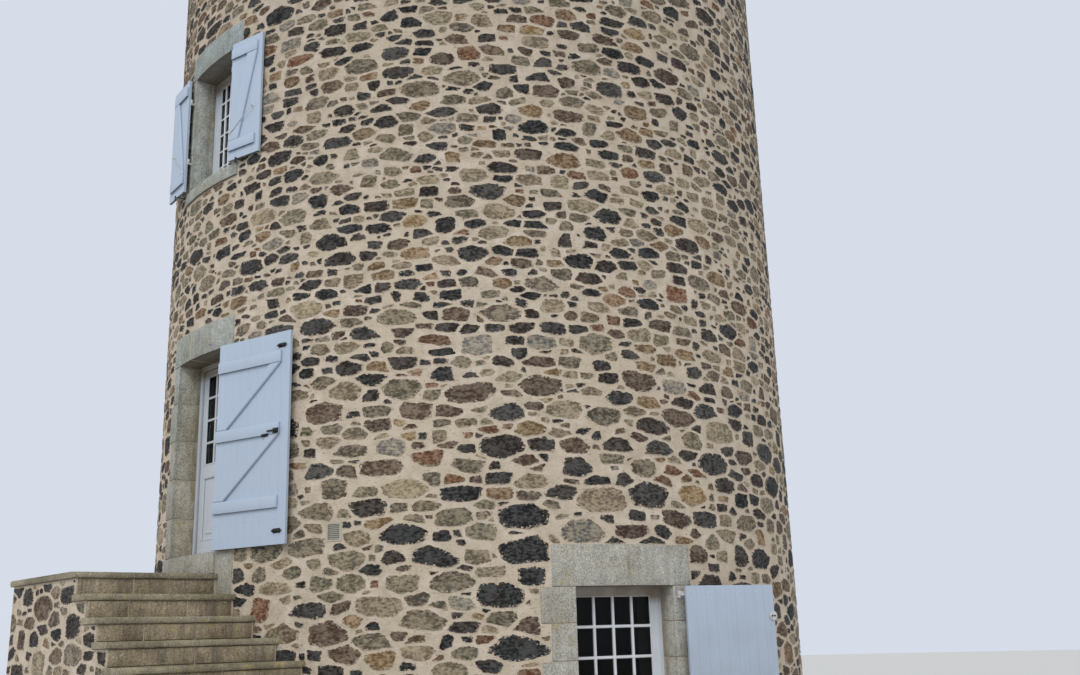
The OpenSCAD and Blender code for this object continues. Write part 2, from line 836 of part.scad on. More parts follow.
// A catch below an open leaf at distance x from its pin: a stem from the wall and a hanging tab
module catch(x, z) {
  reach = board_t + ledge_t + 6;
  translate([x, 100, z]) rotate([90, 0, 0]) cylinder(h = 100 + reach, r = 6, $fn = small_fn);
  translate([x - 9, -reach - 8, z - 50]) cube([18, 8, 62]);
}

// What stays of a stem outside the wall
module outside_wall() {
  difference() {
    children();
    cylinder(h = wall_h, r = tower_r, $fn = round_fn);
  }
}

module shutter_catches() {
  color("black") {
    outside_wall() hung(upper_w, 1, pin_out, pin_side, right_shutter_back)
      catch(upper_catch, upper_z + shutter_gap - catch_drop);
    outside_wall() hung(upper_w, -1, pin_out, pin_side, left_shutter_back)
      catch(upper_catch, upper_z + shutter_gap - catch_drop);
    outside_wall() hung(door_w, 1, pin_out, pin_side, door_shutter_back)
      catch(door_catch, door_z + shutter_gap - catch_drop);
  }
}

// Louvred vent with a rim, set in the wall's recess
module vent_grille() {
  inner_w = vent_w - 2 * vent_rim;
  inner_h = vent_h - 2 * vent_rim;
  pitch = inner_h / louvres;
  color("white") turned(vent_az) translate([0, -tower_r + vent_d, vent_z]) {
    difference() {
      translate([-vent_w / 2, -vent_d - vent_out, 0]) cube([vent_w, vent_d + vent_out, vent_h]);
      translate([-inner_w / 2, -vent_d - vent_out - 1, vent_rim]) cube([inner_w, vent_d - 6, inner_h]);
    }
    for (i = [0:louvres - 1])
      translate([-inner_w / 2, -vent_d, vent_rim + (i + 0.3) * pitch])
        cube([inner_w, vent_d - vent_out - 7, pitch * 0.4]);
  }
}

// Height of the masonry under the tread that is k steps below the landing
function bed_z(k) = k > steps ? 0 : rise * (rises - 1 - k) - tread_t;

// Side outline of the stair under its treads, from the landing down to the ground
function stair_outline() = concat(
  [[-landing_far, 0], [-landing_far, bed_z(0)]],
  [for (k = [0:steps], corner = [0, 1]) [landing_near + going * k, bed_z(k + corner)]]
);

// Takes away what would reach the tower
module clear_of_tower() {
  difference() {
    children();
    translate([0, 0, -1]) cylinder(h = door_z + 2, r = tower_r + dress_out, $fn = round_fn);
  }
}

module stair_masonry() {
  color("rosybrown") clear_of_tower()
    translate([0, -stair_inner, 0]) rotate([90, 0, 0]) linear_extrude(stair_y - stair_inner)
      polygon(stair_outline());
}

module stair_treads() {
  color("gray") clear_of_tower()
    for (k = [1:steps])
      translate([landing_near + going * (k - 1), -stair_y - nosing, rise * (rises - 1 - k) - tread_t])
        cube([going + nosing, stair_y + nosing - stair_inner, tread_t]);
}

module stair_landing() {
  color("gray") clear_of_tower()
    translate([-landing_far - nosing, -stair_y - nosing, rise * (rises - 1) - tread_t])
      cube([landing_far + landing_near + 2 * nosing, stair_y + nosing - stair_inner, tread_t]);
}

wall_below_door();
wall_beside_door();
wall_above_door();
wall_beside_upper_window();
wall_above_upper_window();
wall_near();
wall_lower_window_bay();
wall_right();
wall_back_bay();
wall_rear();
wall_back_lower_bay();
wall_far();
door_lintel();
door_jambs();
door_threshold();
upper_window_surround();
lower_window_surround();
back_window_surrounds();
ground_floor();
door_floor();
upper_floor();
wall_plate();
roof();
finial();
door_frame();
door_leaf();
door_glass();
upper_window_frame();
lower_window_frame();
back_window_frames();
window_glass();
door_shutter();
door_shutter_straps();
upper_left_shutter();
upper_left_straps();
upper_right_shutter();
upper_right_straps();
lower_shutter();
lower_shutter_straps();
shutter_pins();
shutter_catches();
vent_grille();
stair_masonry();
stair_treads();
stair_landing();
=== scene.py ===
"""Looks of the round stone mill tower: rubble masonry, dressed granite, joinery, shutters, slates."""
import math
import random

import bpy
import numpy as np
from mathutils import Matrix, Vector


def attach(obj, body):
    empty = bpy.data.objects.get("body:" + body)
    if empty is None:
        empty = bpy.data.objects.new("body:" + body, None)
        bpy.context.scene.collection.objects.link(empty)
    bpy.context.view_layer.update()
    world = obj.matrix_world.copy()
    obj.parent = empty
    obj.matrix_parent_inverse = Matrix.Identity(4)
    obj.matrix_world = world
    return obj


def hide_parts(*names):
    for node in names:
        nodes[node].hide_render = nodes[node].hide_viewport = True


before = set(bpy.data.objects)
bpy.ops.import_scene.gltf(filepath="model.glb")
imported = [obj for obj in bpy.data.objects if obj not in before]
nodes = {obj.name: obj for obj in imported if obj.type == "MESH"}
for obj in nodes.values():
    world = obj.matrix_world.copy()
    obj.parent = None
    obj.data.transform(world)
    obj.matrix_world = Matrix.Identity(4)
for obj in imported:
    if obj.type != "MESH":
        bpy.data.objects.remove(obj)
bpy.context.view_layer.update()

# Sizes of the tower, in metres
TOWER_R = 3.75
WALL_TOP = 10.35
REVEAL = 0.24
DOOR_W, DOOR_H, DOOR_Z = 1.02, 2.065, 2.48
UPPER_W, UPPER_H, UPPER_Z, BACK_Z = 0.97, 1.402, 6.563, 3.143
LOWER_W, LOWER_H, LOWER_Z, LOWER_AZ = 1.016, 1.3, 0.725, 72.2
VENT_AZ, VENT_W, VENT_H, VENT_Z = 30.3, 0.152, 0.172, 2.49
STEPS = 11
GOING, RISE, TREAD_T, STAIR_Y, STAIR_INNER = 0.27, DOOR_Z / (STEPS + 1), 0.06, 5.05, 3.15
LANDING_FAR, LANDING_NEAR, NOSING = 1.1, 0.56, 0.03
STAIR_LEAVES = math.sqrt(TOWER_R ** 2 - STAIR_INNER ** 2)
EAVES_R, PEAK, ROOF_PITCH = 3.89, 13.97, math.radians(42)
STONE_OUT, STONE_WEAR, WOOD_WEAR = 0.008, 0.007, 0.002
BOARD_T, LEDGE_T, LEDGE_H, BRACE_W, PIN_OUT = 0.03, 0.026, 0.118, 0.15, 0.045
FRAME_SIDE, FRAME_HEAD, SASH_SIDE, SASH_HEAD, SASH_FOOT = 0.045, 0.025, 0.062, 0.055, 0.085
SASH_SET = 0.012

# Where the photograph was taken from, with its angles in degrees and its lens in millimetres
EYE = (10.85, -8.79, 1.60)
BEARING, PITCH, YAW, ROLL = 50.99, 14.939, 3.411, -1.680
LENS, SENSOR = 37.27, 36


def edge_y(width):
    """Distance in front of the axis of an opening's outer edges"""
    return math.sqrt(TOWER_R ** 2 - width ** 2 / 4)


def turned(azimuth):
    """The turn that puts what faces -Y at an azimuth"""
    return Matrix.Rotation(math.radians(azimuth), 4, "Z")


def paint(red, green, blue):
    """A colour given in the 0 to 255 values that a screen shows"""
    return tuple(((c / 255 + 0.055) / 1.055) ** 2.4 if c > 10 else c / 255 / 12.92
                 for c in (red, green, blue)) + (1.0,)


# Camera, floor and light

def set_camera():
    """Puts the camera where the photograph was taken from"""
    away, pitch, yaw, roll = (math.radians(angle) for angle in (BEARING, PITCH, YAW, ROLL))
    ahead = Vector((-math.sin(away), math.cos(away), 0))
    across = Vector((math.cos(away), math.sin(away), 0))
    level = ahead * math.cos(yaw) + across * math.sin(yaw)
    forward = level * math.cos(pitch) + Vector((0, 0, math.sin(pitch)))
    side = across * math.cos(yaw) - ahead * math.sin(yaw)
    top = side.cross(forward)
    right = side * math.cos(roll) + top * math.sin(roll)
    upward = top * math.cos(roll) - side * math.sin(roll)
    data = bpy.data.cameras.new("view")
    data.sensor_width = SENSOR
    data.lens = LENS
    data.clip_end = 200
    camera = bpy.data.objects.new("view", data)
    bpy.context.collection.objects.link(camera)
    turn = Matrix((right, upward, -forward)).transposed().to_4x4()
    camera.matrix_world = Matrix.Translation(EYE) @ turn
    bpy.context.scene.camera = camera


def set_light():
    """An even pale sky with a broad soft lamp high on the camera's left"""
    sky_light, sky_strength = (0.97, 0.985, 1.0, 1), 0.74
    sky_seen = paint(214, 221, 233)
    world = bpy.data.worlds.new("sky")
    bpy.context.scene.world = world
    world.use_nodes = True
    tree = world.node_tree
    tree.nodes.clear()
    path = add(tree, "ShaderNodeLightPath").outputs
    seen = reckon(tree, "MAXIMUM", path["Is Camera Ray"], path["Is Glossy Ray"])
    seen = reckon(tree, "MAXIMUM", seen, path["Is Transmission Ray"])
    lighting = add(tree, "ShaderNodeBackground", {"Color": sky_light, "Strength": sky_strength})
    backdrop = add(tree, "ShaderNodeBackground", {"Color": sky_seen, "Strength": 1.0})
    both = add(tree, "ShaderNodeMixShader", {0: seen, 1: lighting.outputs[0], 2: backdrop.outputs[0]})
    add(tree, "ShaderNodeOutputWorld", {"Surface": both.outputs[0]})
    lamp = bpy.data.lights.new("soft_sun", "SUN")
    lamp.energy = 1.15
    lamp.angle = math.radians(35)
    lamp.color = (1.0, 0.985, 0.96)
    sun = bpy.data.objects.new("soft_sun", lamp)
    bpy.context.collection.objects.link(sun)
    shines_towards = Vector((-0.6, 1.0, -1.05))
    sun.rotation_euler = shines_towards.to_track_quat("-Z", "Y").to_euler()
    bpy.context.scene.view_settings.view_transform = "Standard"


def set_floor():
    """A wide pale floor at the lowest ground"""
    deselect()
    bpy.ops.mesh.primitive_circle_add(vertices=96, radius=60, fill_type="NGON", location=(0, 0, -0.002))
    floor = bpy.context.object
    floor.name = "floor"
    floor.data.materials.append(plain_floor())


# Shader helpers

def feed(tree, socket, value):
    """Joins a socket to another one, or sets it to a value"""
    if isinstance(value, bpy.types.NodeSocket):
        tree.links.new(value, socket)
    else:
        socket.default_value = value


def add(tree, kind, inputs=None, **settings):
    """A shader node with its settings, its sockets set to values or joined to other sockets"""
    made = tree.nodes.new(kind)
    for name, value in settings.items():
        setattr(made, name, value)
    for key, value in (inputs or {}).items():
        feed(tree, made.inputs[key], value)
    return made


def noise(tree, where, scale, detail=4.0, rough=0.55, stretch=None):
    """A noise value from 0 to 1, stretched by three factors if they are given"""
    if stretch:
        where = add(tree, "ShaderNodeMapping", {"Vector": where, "Scale": stretch}).outputs[0]
    return add(tree, "ShaderNodeTexNoise", {"Vector": where, "Scale": scale, "Detail": detail,
                                            "Roughness": rough}).outputs["Fac"]


def spread(tree, value, low, high, first=0.0, last=1.0):
    """A value's stretch from low to high laid over another range, held at its ends"""
    return add(tree, "ShaderNodeMapRange", {"Value": value, "From Min": low, "From Max": high,
                                            "To Min": first, "To Max": last}).outputs[0]


def blend(tree, share, first, second, mode="MIX"):
    """Two colours mixed by a share"""
    made = add(tree, "ShaderNodeMix", data_type="RGBA", blend_type=mode, clamp_result=False)
    for place, value in ((0, share), (6, first), (7, second)):
        feed(tree, made.inputs[place], value)
    return made.outputs[2]


def reckon(tree, operation, first, second=0.0):
    """What one of the Math node's operations makes of two values"""
    return add(tree, "ShaderNodeMath", {0: first, 1: second}, operation=operation).outputs[0]


def times(tree, first, second):
    """The product of two values"""
    return reckon(tree, "MULTIPLY", first, second)


def plus(tree, first, second):
    """The sum of two values"""
    return reckon(tree, "ADD", first, second)


def minus(tree, first, second):
    """The difference of two values"""
    return reckon(tree, "SUBTRACT", first, second)


def height_at(tree, where):
    """Height above the ground"""
    return add(tree, "ShaderNodeSeparateXYZ", {0: where}).outputs["Z"]


def from_axis(tree, where):
    """Distance from the tower's axis"""
    parts = add(tree, "ShaderNodeSeparateXYZ", {0: where}).outputs
    flat = add(tree, "ShaderNodeCombineXYZ", {"X": parts["X"], "Y": parts["Y"]}).outputs[0]
    return add(tree, "ShaderNodeVectorMath", {0: flat}, operation="LENGTH").outputs["Value"]


def facing_up(tree):
    """How far the surface faces up, from -1 to 1"""
    normal = add(tree, "ShaderNodeNewGeometry").outputs["Normal"]
    return add(tree, "ShaderNodeSeparateXYZ", {0: normal}).outputs["Z"]


def shaded(tree, colour, value):
    """A colour made lighter or darker by a value round 1"""
    return add(tree, "ShaderNodeVectorMath", {0: colour, "Scale": value}, operation="SCALE").outputs[0]


def new_group(name, takes, gives):
    """An empty node group; takes gives each input its start value, a tuple where it is a colour"""
    group = bpy.data.node_groups.new(name, "ShaderNodeTree")
    for label, start in takes.items():
        kind = "NodeSocketColor" if isinstance(start, tuple) else "NodeSocketFloat"
        group.interface.new_socket(name=label, in_out="INPUT", socket_type=kind).default_value = start
    for label in gives:
        kind = "NodeSocketColor" if label == "Color" else "NodeSocketFloat"
        group.interface.new_socket(name=label, in_out="OUTPUT", socket_type=kind)
    return group, group.nodes.new("NodeGroupInput").outputs, group.nodes.new("NodeGroupOutput").inputs


def placed_group(tree, group, **values):
    """A node group in a material, with values or sockets for its inputs"""
    made = tree.nodes.new("ShaderNodeGroup")
    made.node_tree = group
    for key, value in values.items():
        feed(tree, made.inputs[key], value)
    return made.outputs


def surface(name, **plain):
    """A material with one Principled shader: its tree, the shader and the place on the piece"""
    material = bpy.data.materials.new(name)
    material.use_nodes = True
    tree = material.node_tree
    tree.nodes.clear()
    values = {key.replace("_", " "): value for key, value in plain.items()}
    shader = add(tree, "ShaderNodeBsdfPrincipled", values)
    add(tree, "ShaderNodeOutputMaterial", {"Surface": shader.outputs[0]})
    where = add(tree, "ShaderNodeTexCoord").outputs["Object"]
    return material, tree, shader, where


def finish(tree, shader, colour, roughness=None, height=None, depth=0.004, strength=1.0):
    """Joins colour, roughness and relief to the shader"""
    tree.links.new(colour, shader.inputs["Base Color"])
    if roughness is not None:
        tree.links.new(roughness, shader.inputs["Roughness"])
    if height is not None:
        bump = add(tree, "ShaderNodeBump", {"Height": height, "Distance": depth, "Strength": strength})
        tree.links.new(bump.outputs[0], shader.inputs["Normal"])


# Effects that several materials share

GREY = (0.5, 0.5, 0.5, 1)

# The heights between which the wall is painted a little darker, a painted shade
UPPER_WALL_SHADE = (5.0, 8.0)


def weather_group():
    """Damp streaks, lichen, moss on what faces up, brown stain in reveals and painted shade on what faces
    down
    """
    group, taken, given = new_group(
        "weather", {"Color": GREY, "Lichen": 0.5, "Moss": 0.5, "Damp": 0.5, "Stain": 0.0}, ("Color", "Cover"))
    dark_damp, brown_damp, brown_stain = (0.10, 0.095, 0.085, 1), paint(74, 64, 52), paint(134, 116, 84)
    ochre_lichen, pale_lichen = paint(176, 160, 108), paint(196, 194, 182)
    dark_moss, light_moss, underside_painted_shade = paint(72, 78, 34), paint(118, 120, 66), paint(84, 74, 64)
    in_reveal = (3.66, 3.55)
    where = add(group, "ShaderNodeTexCoord").outputs["Object"]
    streak = spread(group, noise(group, where, 1.0, 5, 0.6, (9, 9, 0.7)), 0.48, 0.75)
    colour = blend(group, times(group, streak, taken["Damp"]), taken["Color"], dark_damp)
    thin = spread(group, noise(group, where, 1.0, 6, 0.68, (40, 40, 4.5)), 0.50, 0.68)
    thin = times(group, thin, spread(group, noise(group, where, 3.6, 4), 0.38, 0.62))
    colour = blend(group, times(group, thin, taken["Damp"]), colour, brown_damp)
    stain = times(group, spread(group, from_axis(group, where), *in_reveal),
                  spread(group, noise(group, where, 1.0, 5, 0.6, (20, 20, 2.5)), 0.35, 0.60))
    colour = blend(group, times(group, stain, taken["Stain"]), colour, brown_stain)
    ochre = spread(group, noise(group, where, 11, 8, 0.65), 0.56, 0.66)
    patch = spread(group, noise(group, where, 2.1, 3), 0.42, 0.62)
    ochre = times(group, times(group, ochre, patch), taken["Lichen"])
    colour = blend(group, ochre, colour, ochre_lichen)
    pale = spread(group, noise(group, where, 27, 6, 0.6), 0.63, 0.70)
    colour = blend(group, times(group, pale, taken["Lichen"]), colour, pale_lichen)
    facing = facing_up(group)
    moss = times(group, spread(group, facing, 0.35, 0.85),
                 spread(group, noise(group, where, 6, 8, 0.7), 0.40, 0.60))
    moss = times(group, moss, taken["Moss"])
    colour = blend(group, moss, colour, blend(group, noise(group, where, 60, 3), dark_moss, light_moss))
    # Painted shade: what faces down is darkened
    colour = blend(group, spread(group, facing, -0.4, -0.8, 0.0, 0.75), colour, underside_painted_shade)
    feed(group, given["Color"], colour)
    feed(group, given["Cover"], reckon(group, "MAXIMUM", moss, ochre))
    return group


def grain_group():
    """Mineral speckle in three sizes, with its relief"""
    group, taken, given = new_group(
        "mineral_grain", {"Color": GREY, "Size": 1.0, "Contrast": 0.5}, ("Color", "Height"))
    where = add(group, "ShaderNodeTexCoord").outputs["Object"]
    spot = shaded(group, where, taken["Size"])
    fine = noise(group, spot, 210, 3, 0.7)
    middle = noise(group, spot, 70, 5, 0.65)
    broad = noise(group, spot, 9, 5, 0.6)
    both = plus(group, times(group, fine, 0.3), times(group, middle, 0.7))
    swing = times(group, minus(group, both, 0.5), 5.0)
    wide = times(group, minus(group, broad, 0.5), 1.1)
    swing = times(group, plus(group, swing, wide), taken["Contrast"])
    feed(group, given["Color"], shaded(group, taken["Color"], plus(group, swing, 1.0)))
    feed(group, given["Height"], plus(group, times(group, middle, 0.6), times(group, broad, 0.4)))
    return group


def old_paint_group():
    """Brushed paint over wood: grain along the height, rain marks, dust, painted shade under ledges, brown
    grime with painted shade under heads of openings, and painted shade higher up
    """
    group, taken, given = new_group(
        "old_paint", {"Color": (0.7, 0.7, 0.7, 1), "Dirt": 0.5, "Grain": 0.5, "Grime": 0.0},
        ("Color", "Roughness", "Height"))
    rain_mark, ledge_shade, splashed = paint(122, 122, 112), paint(58, 68, 80), paint(132, 134, 134)
    brown_grime_and_shade, grime_and_shade_below, grime_and_shade_full = paint(132, 116, 96), 0.17, 0.09
    where = add(group, "ShaderNodeTexCoord").outputs["Object"]
    grain = noise(group, where, 1.0, 6, 0.6, (160, 160, 3.5))
    cloud = noise(group, where, 2.3, 5, 0.6)
    swing = times(group, minus(group, grain, 0.5), 0.16)
    swing = plus(group, times(group, swing, taken["Grain"]), times(group, minus(group, cloud, 0.5), 0.13))
    colour = shaded(group, taken["Color"], plus(group, swing, 1.0))
    mark = spread(group, noise(group, where, 1.0, 6, 0.65, (26, 26, 1.6)), 0.56, 0.80)
    speck = spread(group, noise(group, where, 90, 3, 0.6), 0.68, 0.76, 0.0, 0.5)
    dirt = times(group, reckon(group, "MAXIMUM", mark, speck), taken["Dirt"])
    colour = blend(group, dirt, colour, rain_mark)
    colour = blend(group, spread(group, facing_up(group), -0.86, -0.97, 0.0, 0.85), colour, ledge_shade)
    height = height_at(group, where)
    splash = times(group, spread(group, height, 2.4, 1.0, 0.0, 0.6), noise(group, where, 3.1, 5))
    colour = blend(group, splash, colour, splashed)
    grime_and_shade = 0.0
    for top in (DOOR_Z + DOOR_H, UPPER_Z + UPPER_H, LOWER_Z + LOWER_H):
        near = times(group, spread(group, height, top - grime_and_shade_below, top - grime_and_shade_full),
                     reckon(group, "LESS_THAN", height, top))
        grime_and_shade = near if grime_and_shade == 0.0 else plus(group, grime_and_shade, near)
    grime_and_shade = times(group, grime_and_shade, spread(group, noise(group, where, 4.0, 5), 0.25, 0.6, 0.55, 0.92))
    # Brown grime mixed with painted shade under the heads of openings
    colour = blend(group, times(group, grime_and_shade, taken["Grime"]), colour, brown_grime_and_shade)
    # Painted shade: joinery higher up is darkened
    painted_shade_higher_up = times(group, spread(group, height, 2.2, 2.45, 0.0, 0.22), taken["Grime"])
    feed(group, given["Color"], shaded(group, colour, minus(group, 1.0, painted_shade_higher_up)))
    feed(group, given["Roughness"], spread(group, cloud, 0.3, 0.7, 0.42, 0.58))
    feed(group, given["Height"], grain)
    return group


WEATHER = weather_group()
GRAIN = grain_group()
OLD_PAINT = old_paint_group()


# Materials

def plain_floor():
    """An even pale grey"""
    material, tree, shader, where = surface("pale_floor", Roughness=0.9)
    colour = blend(tree, noise(tree, where, 3, 3), paint(203, 204, 204), paint(210, 211, 211))
    finish(tree, shader, colour)
    return material


def lime_mortar():
    """Sandy lime mortar outside, smooth lime plaster inside"""
    material, tree, shader, where = surface("lime_mortar", Roughness=0.93, Specular_IOR_Level=0.2)
    dark_lime, light_lime, sandy_lime = paint(186, 172, 154), paint(215, 203, 188), paint(197, 183, 162)
    flake_shadow, damp_foot = paint(128, 114, 96), paint(118, 110, 88)
    dark_plaster, light_plaster = paint(196, 190, 178), paint(206, 201, 191)
    foot_top, inside_wall = 0.9, (3.30, 3.45)
    broad = noise(tree, where, 0.9, 4)
    patch = noise(tree, where, 7, 6, 0.62)
    sand = noise(tree, where, 240, 3, 0.7)
    colour = blend(tree, spread(tree, patch, 0.34, 0.66), dark_lime, light_lime)
    colour = blend(tree, spread(tree, broad, 0.35, 0.65, 0.0, 0.55), colour, sandy_lime)
    colour = shaded(tree, colour, spread(tree, sand, 0.3, 0.7, 0.88, 1.12))
    flakes = spread(tree, noise(tree, where, 1.0, 5, 0.62, (28, 28, 72)), 0.59, 0.66)
    colour = blend(tree, times(tree, flakes, 0.65), colour, flake_shadow)
    height = height_at(tree, where)
    foot = times(tree, spread(tree, height, foot_top, 0.0), noise(tree, where, 5, 5))
    colour = blend(tree, foot, colour, damp_foot)
    # Painted shade: the mortar is darkened higher up
    colour = shaded(tree, colour, spread(tree, height, *UPPER_WALL_SHADE, 1.0, 0.90))
    outside = spread(tree, from_axis(tree, where), *inside_wall)
    colour = blend(tree, outside, blend(tree, patch, dark_plaster, light_plaster), colour)
    lumps = plus(tree, noise(tree, where, 34, 6, 0.62), times(tree, sand, 0.25))
    finish(tree, shader, colour, height=times(tree, lumps, outside), depth=0.012, strength=0.75)
    return material


def rubble_stone():
    """Field stones, each with its own colour painted darker at its rim as painted shade, mottled along its
    bed, smeared with lime at its rim and painted a little darker higher up as painted shade
    """
    material, tree, shader, where = surface("rubble_stone", Specular_IOR_Level=0.18)
    cool_light, warm_light = paint(140, 142, 142), paint(188, 174, 150)
    rust_brown, lime_smear = paint(104, 78, 56), paint(195, 180, 161)
    source = add(tree, "ShaderNodeAttribute", attribute_name="stone_tint").outputs
    # The tint is the stone's colour with the painted shade of its rim and the painted light of its crown
    tint, from_rim = source["Color"], source["Alpha"]
    bed = noise(tree, where, 1.0, 5, 0.6, (25, 25, 47))
    cloud = noise(tree, where, 9, 4, 0.6)
    fine = noise(tree, where, 130, 3, 0.65)
    bright = add(tree, "ShaderNodeRGBToBW", {0: tint}).outputs[0]
    light = blend(tree, spread(tree, bright, 0.02, 0.12), cool_light, warm_light)
    pale = blend(tree, spread(tree, bright, 0.0, 0.25, 0.17, 0.60), tint, light)
    patch = spread(tree, plus(tree, bed, times(tree, cloud, 0.6)), 0.70, 0.90)
    colour = blend(tree, patch, shaded(tree, tint, 0.58), pale)
    rust = spread(tree, noise(tree, where, 7, 5, 0.6), 0.58, 0.70)
    colour = blend(tree, times(tree, rust, 0.30), colour, rust_brown)
    colour = shaded(tree, colour, spread(tree, fine, 0.3, 0.7, 0.80, 1.20))
    ragged = plus(tree, noise(tree, where, 1.0, 6, 0.62, (36, 36, 50)), times(tree, from_rim, -0.5))
    smear = times(tree, spread(tree, ragged, 0.30, 0.36), 0.92)
    colour = blend(tree, smear, colour, lime_smear)
    # Painted shade: the stones are darkened higher up
    colour = shaded(tree, colour, spread(tree, height_at(tree, where), *UPPER_WALL_SHADE, 1.0, 0.88))
    finish(tree, shader, colour, roughness=spread(tree, cloud, 0.3, 0.7, 0.75, 0.95),
           height=plus(tree, bed, times(tree, fine, 0.3)), depth=0.014, strength=0.8)
    return material


def surround_tone(tree, where, tone):
    """The surrounds' tone: cooler higher up and on the top lintel, painted lighter in reveals as painted
    light, warm in the door's
    """
    cool, coolest, warm = (0.89, 0.95, 0.98, 1), (0.83, 0.89, 0.96, 1), (1.04, 0.97, 0.88, 1)
    cool_from, top_lintel, in_reveal = (2.3, 4.4), (7.93, 7.98), (3.745, 3.70)
    door_from, door_to = (2.3, 2.6), (5.2, 4.6)
    height = height_at(tree, where)
    tone = blend(tree, spread(tree, height, *cool_from), tone, cool, "MULTIPLY")
    tone = blend(tree, spread(tree, height, *top_lintel), tone, coolest, "MULTIPLY")
    inner = spread(tree, from_axis(tree, where), *in_reveal)
    # Painted light: the stone is brightened inside the reveals
    tone = shaded(tree, tone, spread(tree, inner, 0, 1, 0.97, 1.26))
    door_high = times(tree, spread(tree, height, *door_from), spread(tree, height, *door_to))
    return blend(tree, times(tree, inner, door_high), tone, warm, "MULTIPLY")


def stone_finish(name, colour, second, contrast, size, lichen, moss, damp, relief=0.005, stain=0.0):
    """Dressed stone in two mixed tones with grain and weather, stained where it surrounds an opening and
    painted lighter in its reveals as painted light
    """
    material, tree, shader, where = surface(name, Specular_IOR_Level=0.25)
    tone = blend(tree, spread(tree, noise(tree, where, 1.7, 4), 0.38, 0.62), colour, second)
    if stain:
        tone = surround_tone(tree, where, tone)
    grain = placed_group(tree, GRAIN, Color=tone, Size=size, Contrast=contrast)
    weather = placed_group(tree, WEATHER, Color=grain["Color"], Lichen=lichen, Moss=moss, Damp=damp,
                           Stain=stain)
    finish(tree, shader, weather["Color"], roughness=spread(tree, weather["Cover"], 0, 1, 0.82, 0.96),
           height=grain["Height"], depth=relief, strength=0.8)
    return material


def painted(name, colour, dirt, grain, relief=0.0006, grime_and_shade=0.0):
    """Paint that carries dirt, with brown grime and painted shade under the heads of openings and painted
    shade higher up, where asked
    """
    material, tree, shader, _ = surface(name, Roughness=0.5)
    coat = placed_group(tree, OLD_PAINT, Color=colour, Dirt=dirt, Grain=grain, Grime=grime_and_shade)
    finish(tree, shader, coat["Color"], roughness=coat["Roughness"], height=coat["Height"], depth=relief)
    return material


def metal_finish(name, colour, second, metallic, rough, relief=0.0008):
    """Metal with tarnish in patches"""
    material, tree, shader, where = surface(name, Metallic=metallic)
    tarnish = spread(tree, noise(tree, where, 19, 6, 0.65), 0.40, 0.66)
    tone = blend(tree, tarnish, colour, second)
    finish(tree, shader, tone, roughness=spread(tree, tarnish, 0, 1, rough, min(1.0, rough + 0.22)),
           height=noise(tree, where, 130, 3), depth=relief)
    return material


def slate_finish():
    """Slates, each with its own tone, with lichen and a little moss"""
    material, tree, shader, where = surface("slate_finish", Roughness=0.6)
    tint = add(tree, "ShaderNodeAttribute", attribute_name="stone_tint").outputs["Color"]
    leafing = noise(tree, where, 26, 7, 0.65)
    tone = shaded(tree, tint, spread(tree, leafing, 0.3, 0.7, 0.8, 1.2))
    weather = placed_group(tree, WEATHER, Color=tone, Lichen=0.5, Moss=0.35, Damp=0.25)
    finish(tree, shader, weather["Color"], roughness=spread(tree, leafing, 0.3, 0.7, 0.5, 0.72),
           height=leafing, depth=0.004, strength=0.7)
    return material


def bare_wood(name, light, dark, along):
    """Planed boards with their grain along X, Y or Z"""
    material, tree, shader, where = surface(name, Roughness=0.7)
    boards_per_metre, seam_from, seam_brown = 6.25, 0.975, paint(48, 38, 30)
    stretch = tuple(2.0 if axis == along else 48.0 for axis in "XYZ")
    grain = noise(tree, where, 1.0, 6, 0.6, stretch)
    tone = blend(tree, spread(tree, grain, 0.35, 0.65), light, dark)
    across = add(tree, "ShaderNodeSeparateXYZ", {0: where}).outputs["Y" if along == "X" else "X"]
    board = reckon(tree, "FRACT", times(tree, across, boards_per_metre))
    seam = reckon(tree, "GREATER_THAN", board, seam_from)
    tone = blend(tree, times(tree, seam, 0.7), tone, seam_brown)
    tone = shaded(tree, tone, spread(tree, noise(tree, where, 1.4, 4), 0.3, 0.7, 0.85, 1.12))
    finish(tree, shader, tone, height=grain, depth=0.0015, strength=0.6)
    return material


def clear_glass():
    """Window glass with faint waves"""
    material, tree, shader, where = surface("clear_glass", Roughness=0.02, IOR=1.18, Transmission_Weight=1.0)
    tone = blend(tree, noise(tree, where, 3, 3), paint(150, 158, 160), paint(166, 172, 172))
    finish(tree, shader, tone, height=noise(tree, where, 5, 2), depth=0.0006, strength=0.5)
    return material


MORTAR = lime_mortar()
STONE = rubble_stone()
GRANITE = stone_finish("granite_finish", paint(177, 176, 170), paint(162, 159, 148), contrast=0.80,
                       size=1.05, lichen=0.6, moss=0.6, damp=0.28, stain=0.75)
STAIR_GRANITE = stone_finish("stair_granite", paint(172, 158, 136), paint(134, 122, 101), contrast=0.80,
                             size=0.95, lichen=0.8, moss=1.0, damp=0.80)
TREAD = stone_finish("tread_finish", paint(160, 152, 132), paint(128, 120, 101), contrast=0.75,
                     size=0.95, lichen=0.9, moss=0.62, damp=0.35)
SCREED = stone_finish("screed_finish", paint(150, 146, 138), paint(138, 134, 126), contrast=0.12,
                      size=0.6, lichen=0.0, moss=0.0, damp=0.2, relief=0.002)
SLATE = slate_finish()
SHUTTER_PAINT = painted("shutter_coat", paint(178, 193, 213), dirt=0.16, grain=0.55)
JOINERY_PAINT = painted("joinery_coat", paint(220, 228, 238), dirt=0.16, grain=0.4, grime_and_shade=1.0)
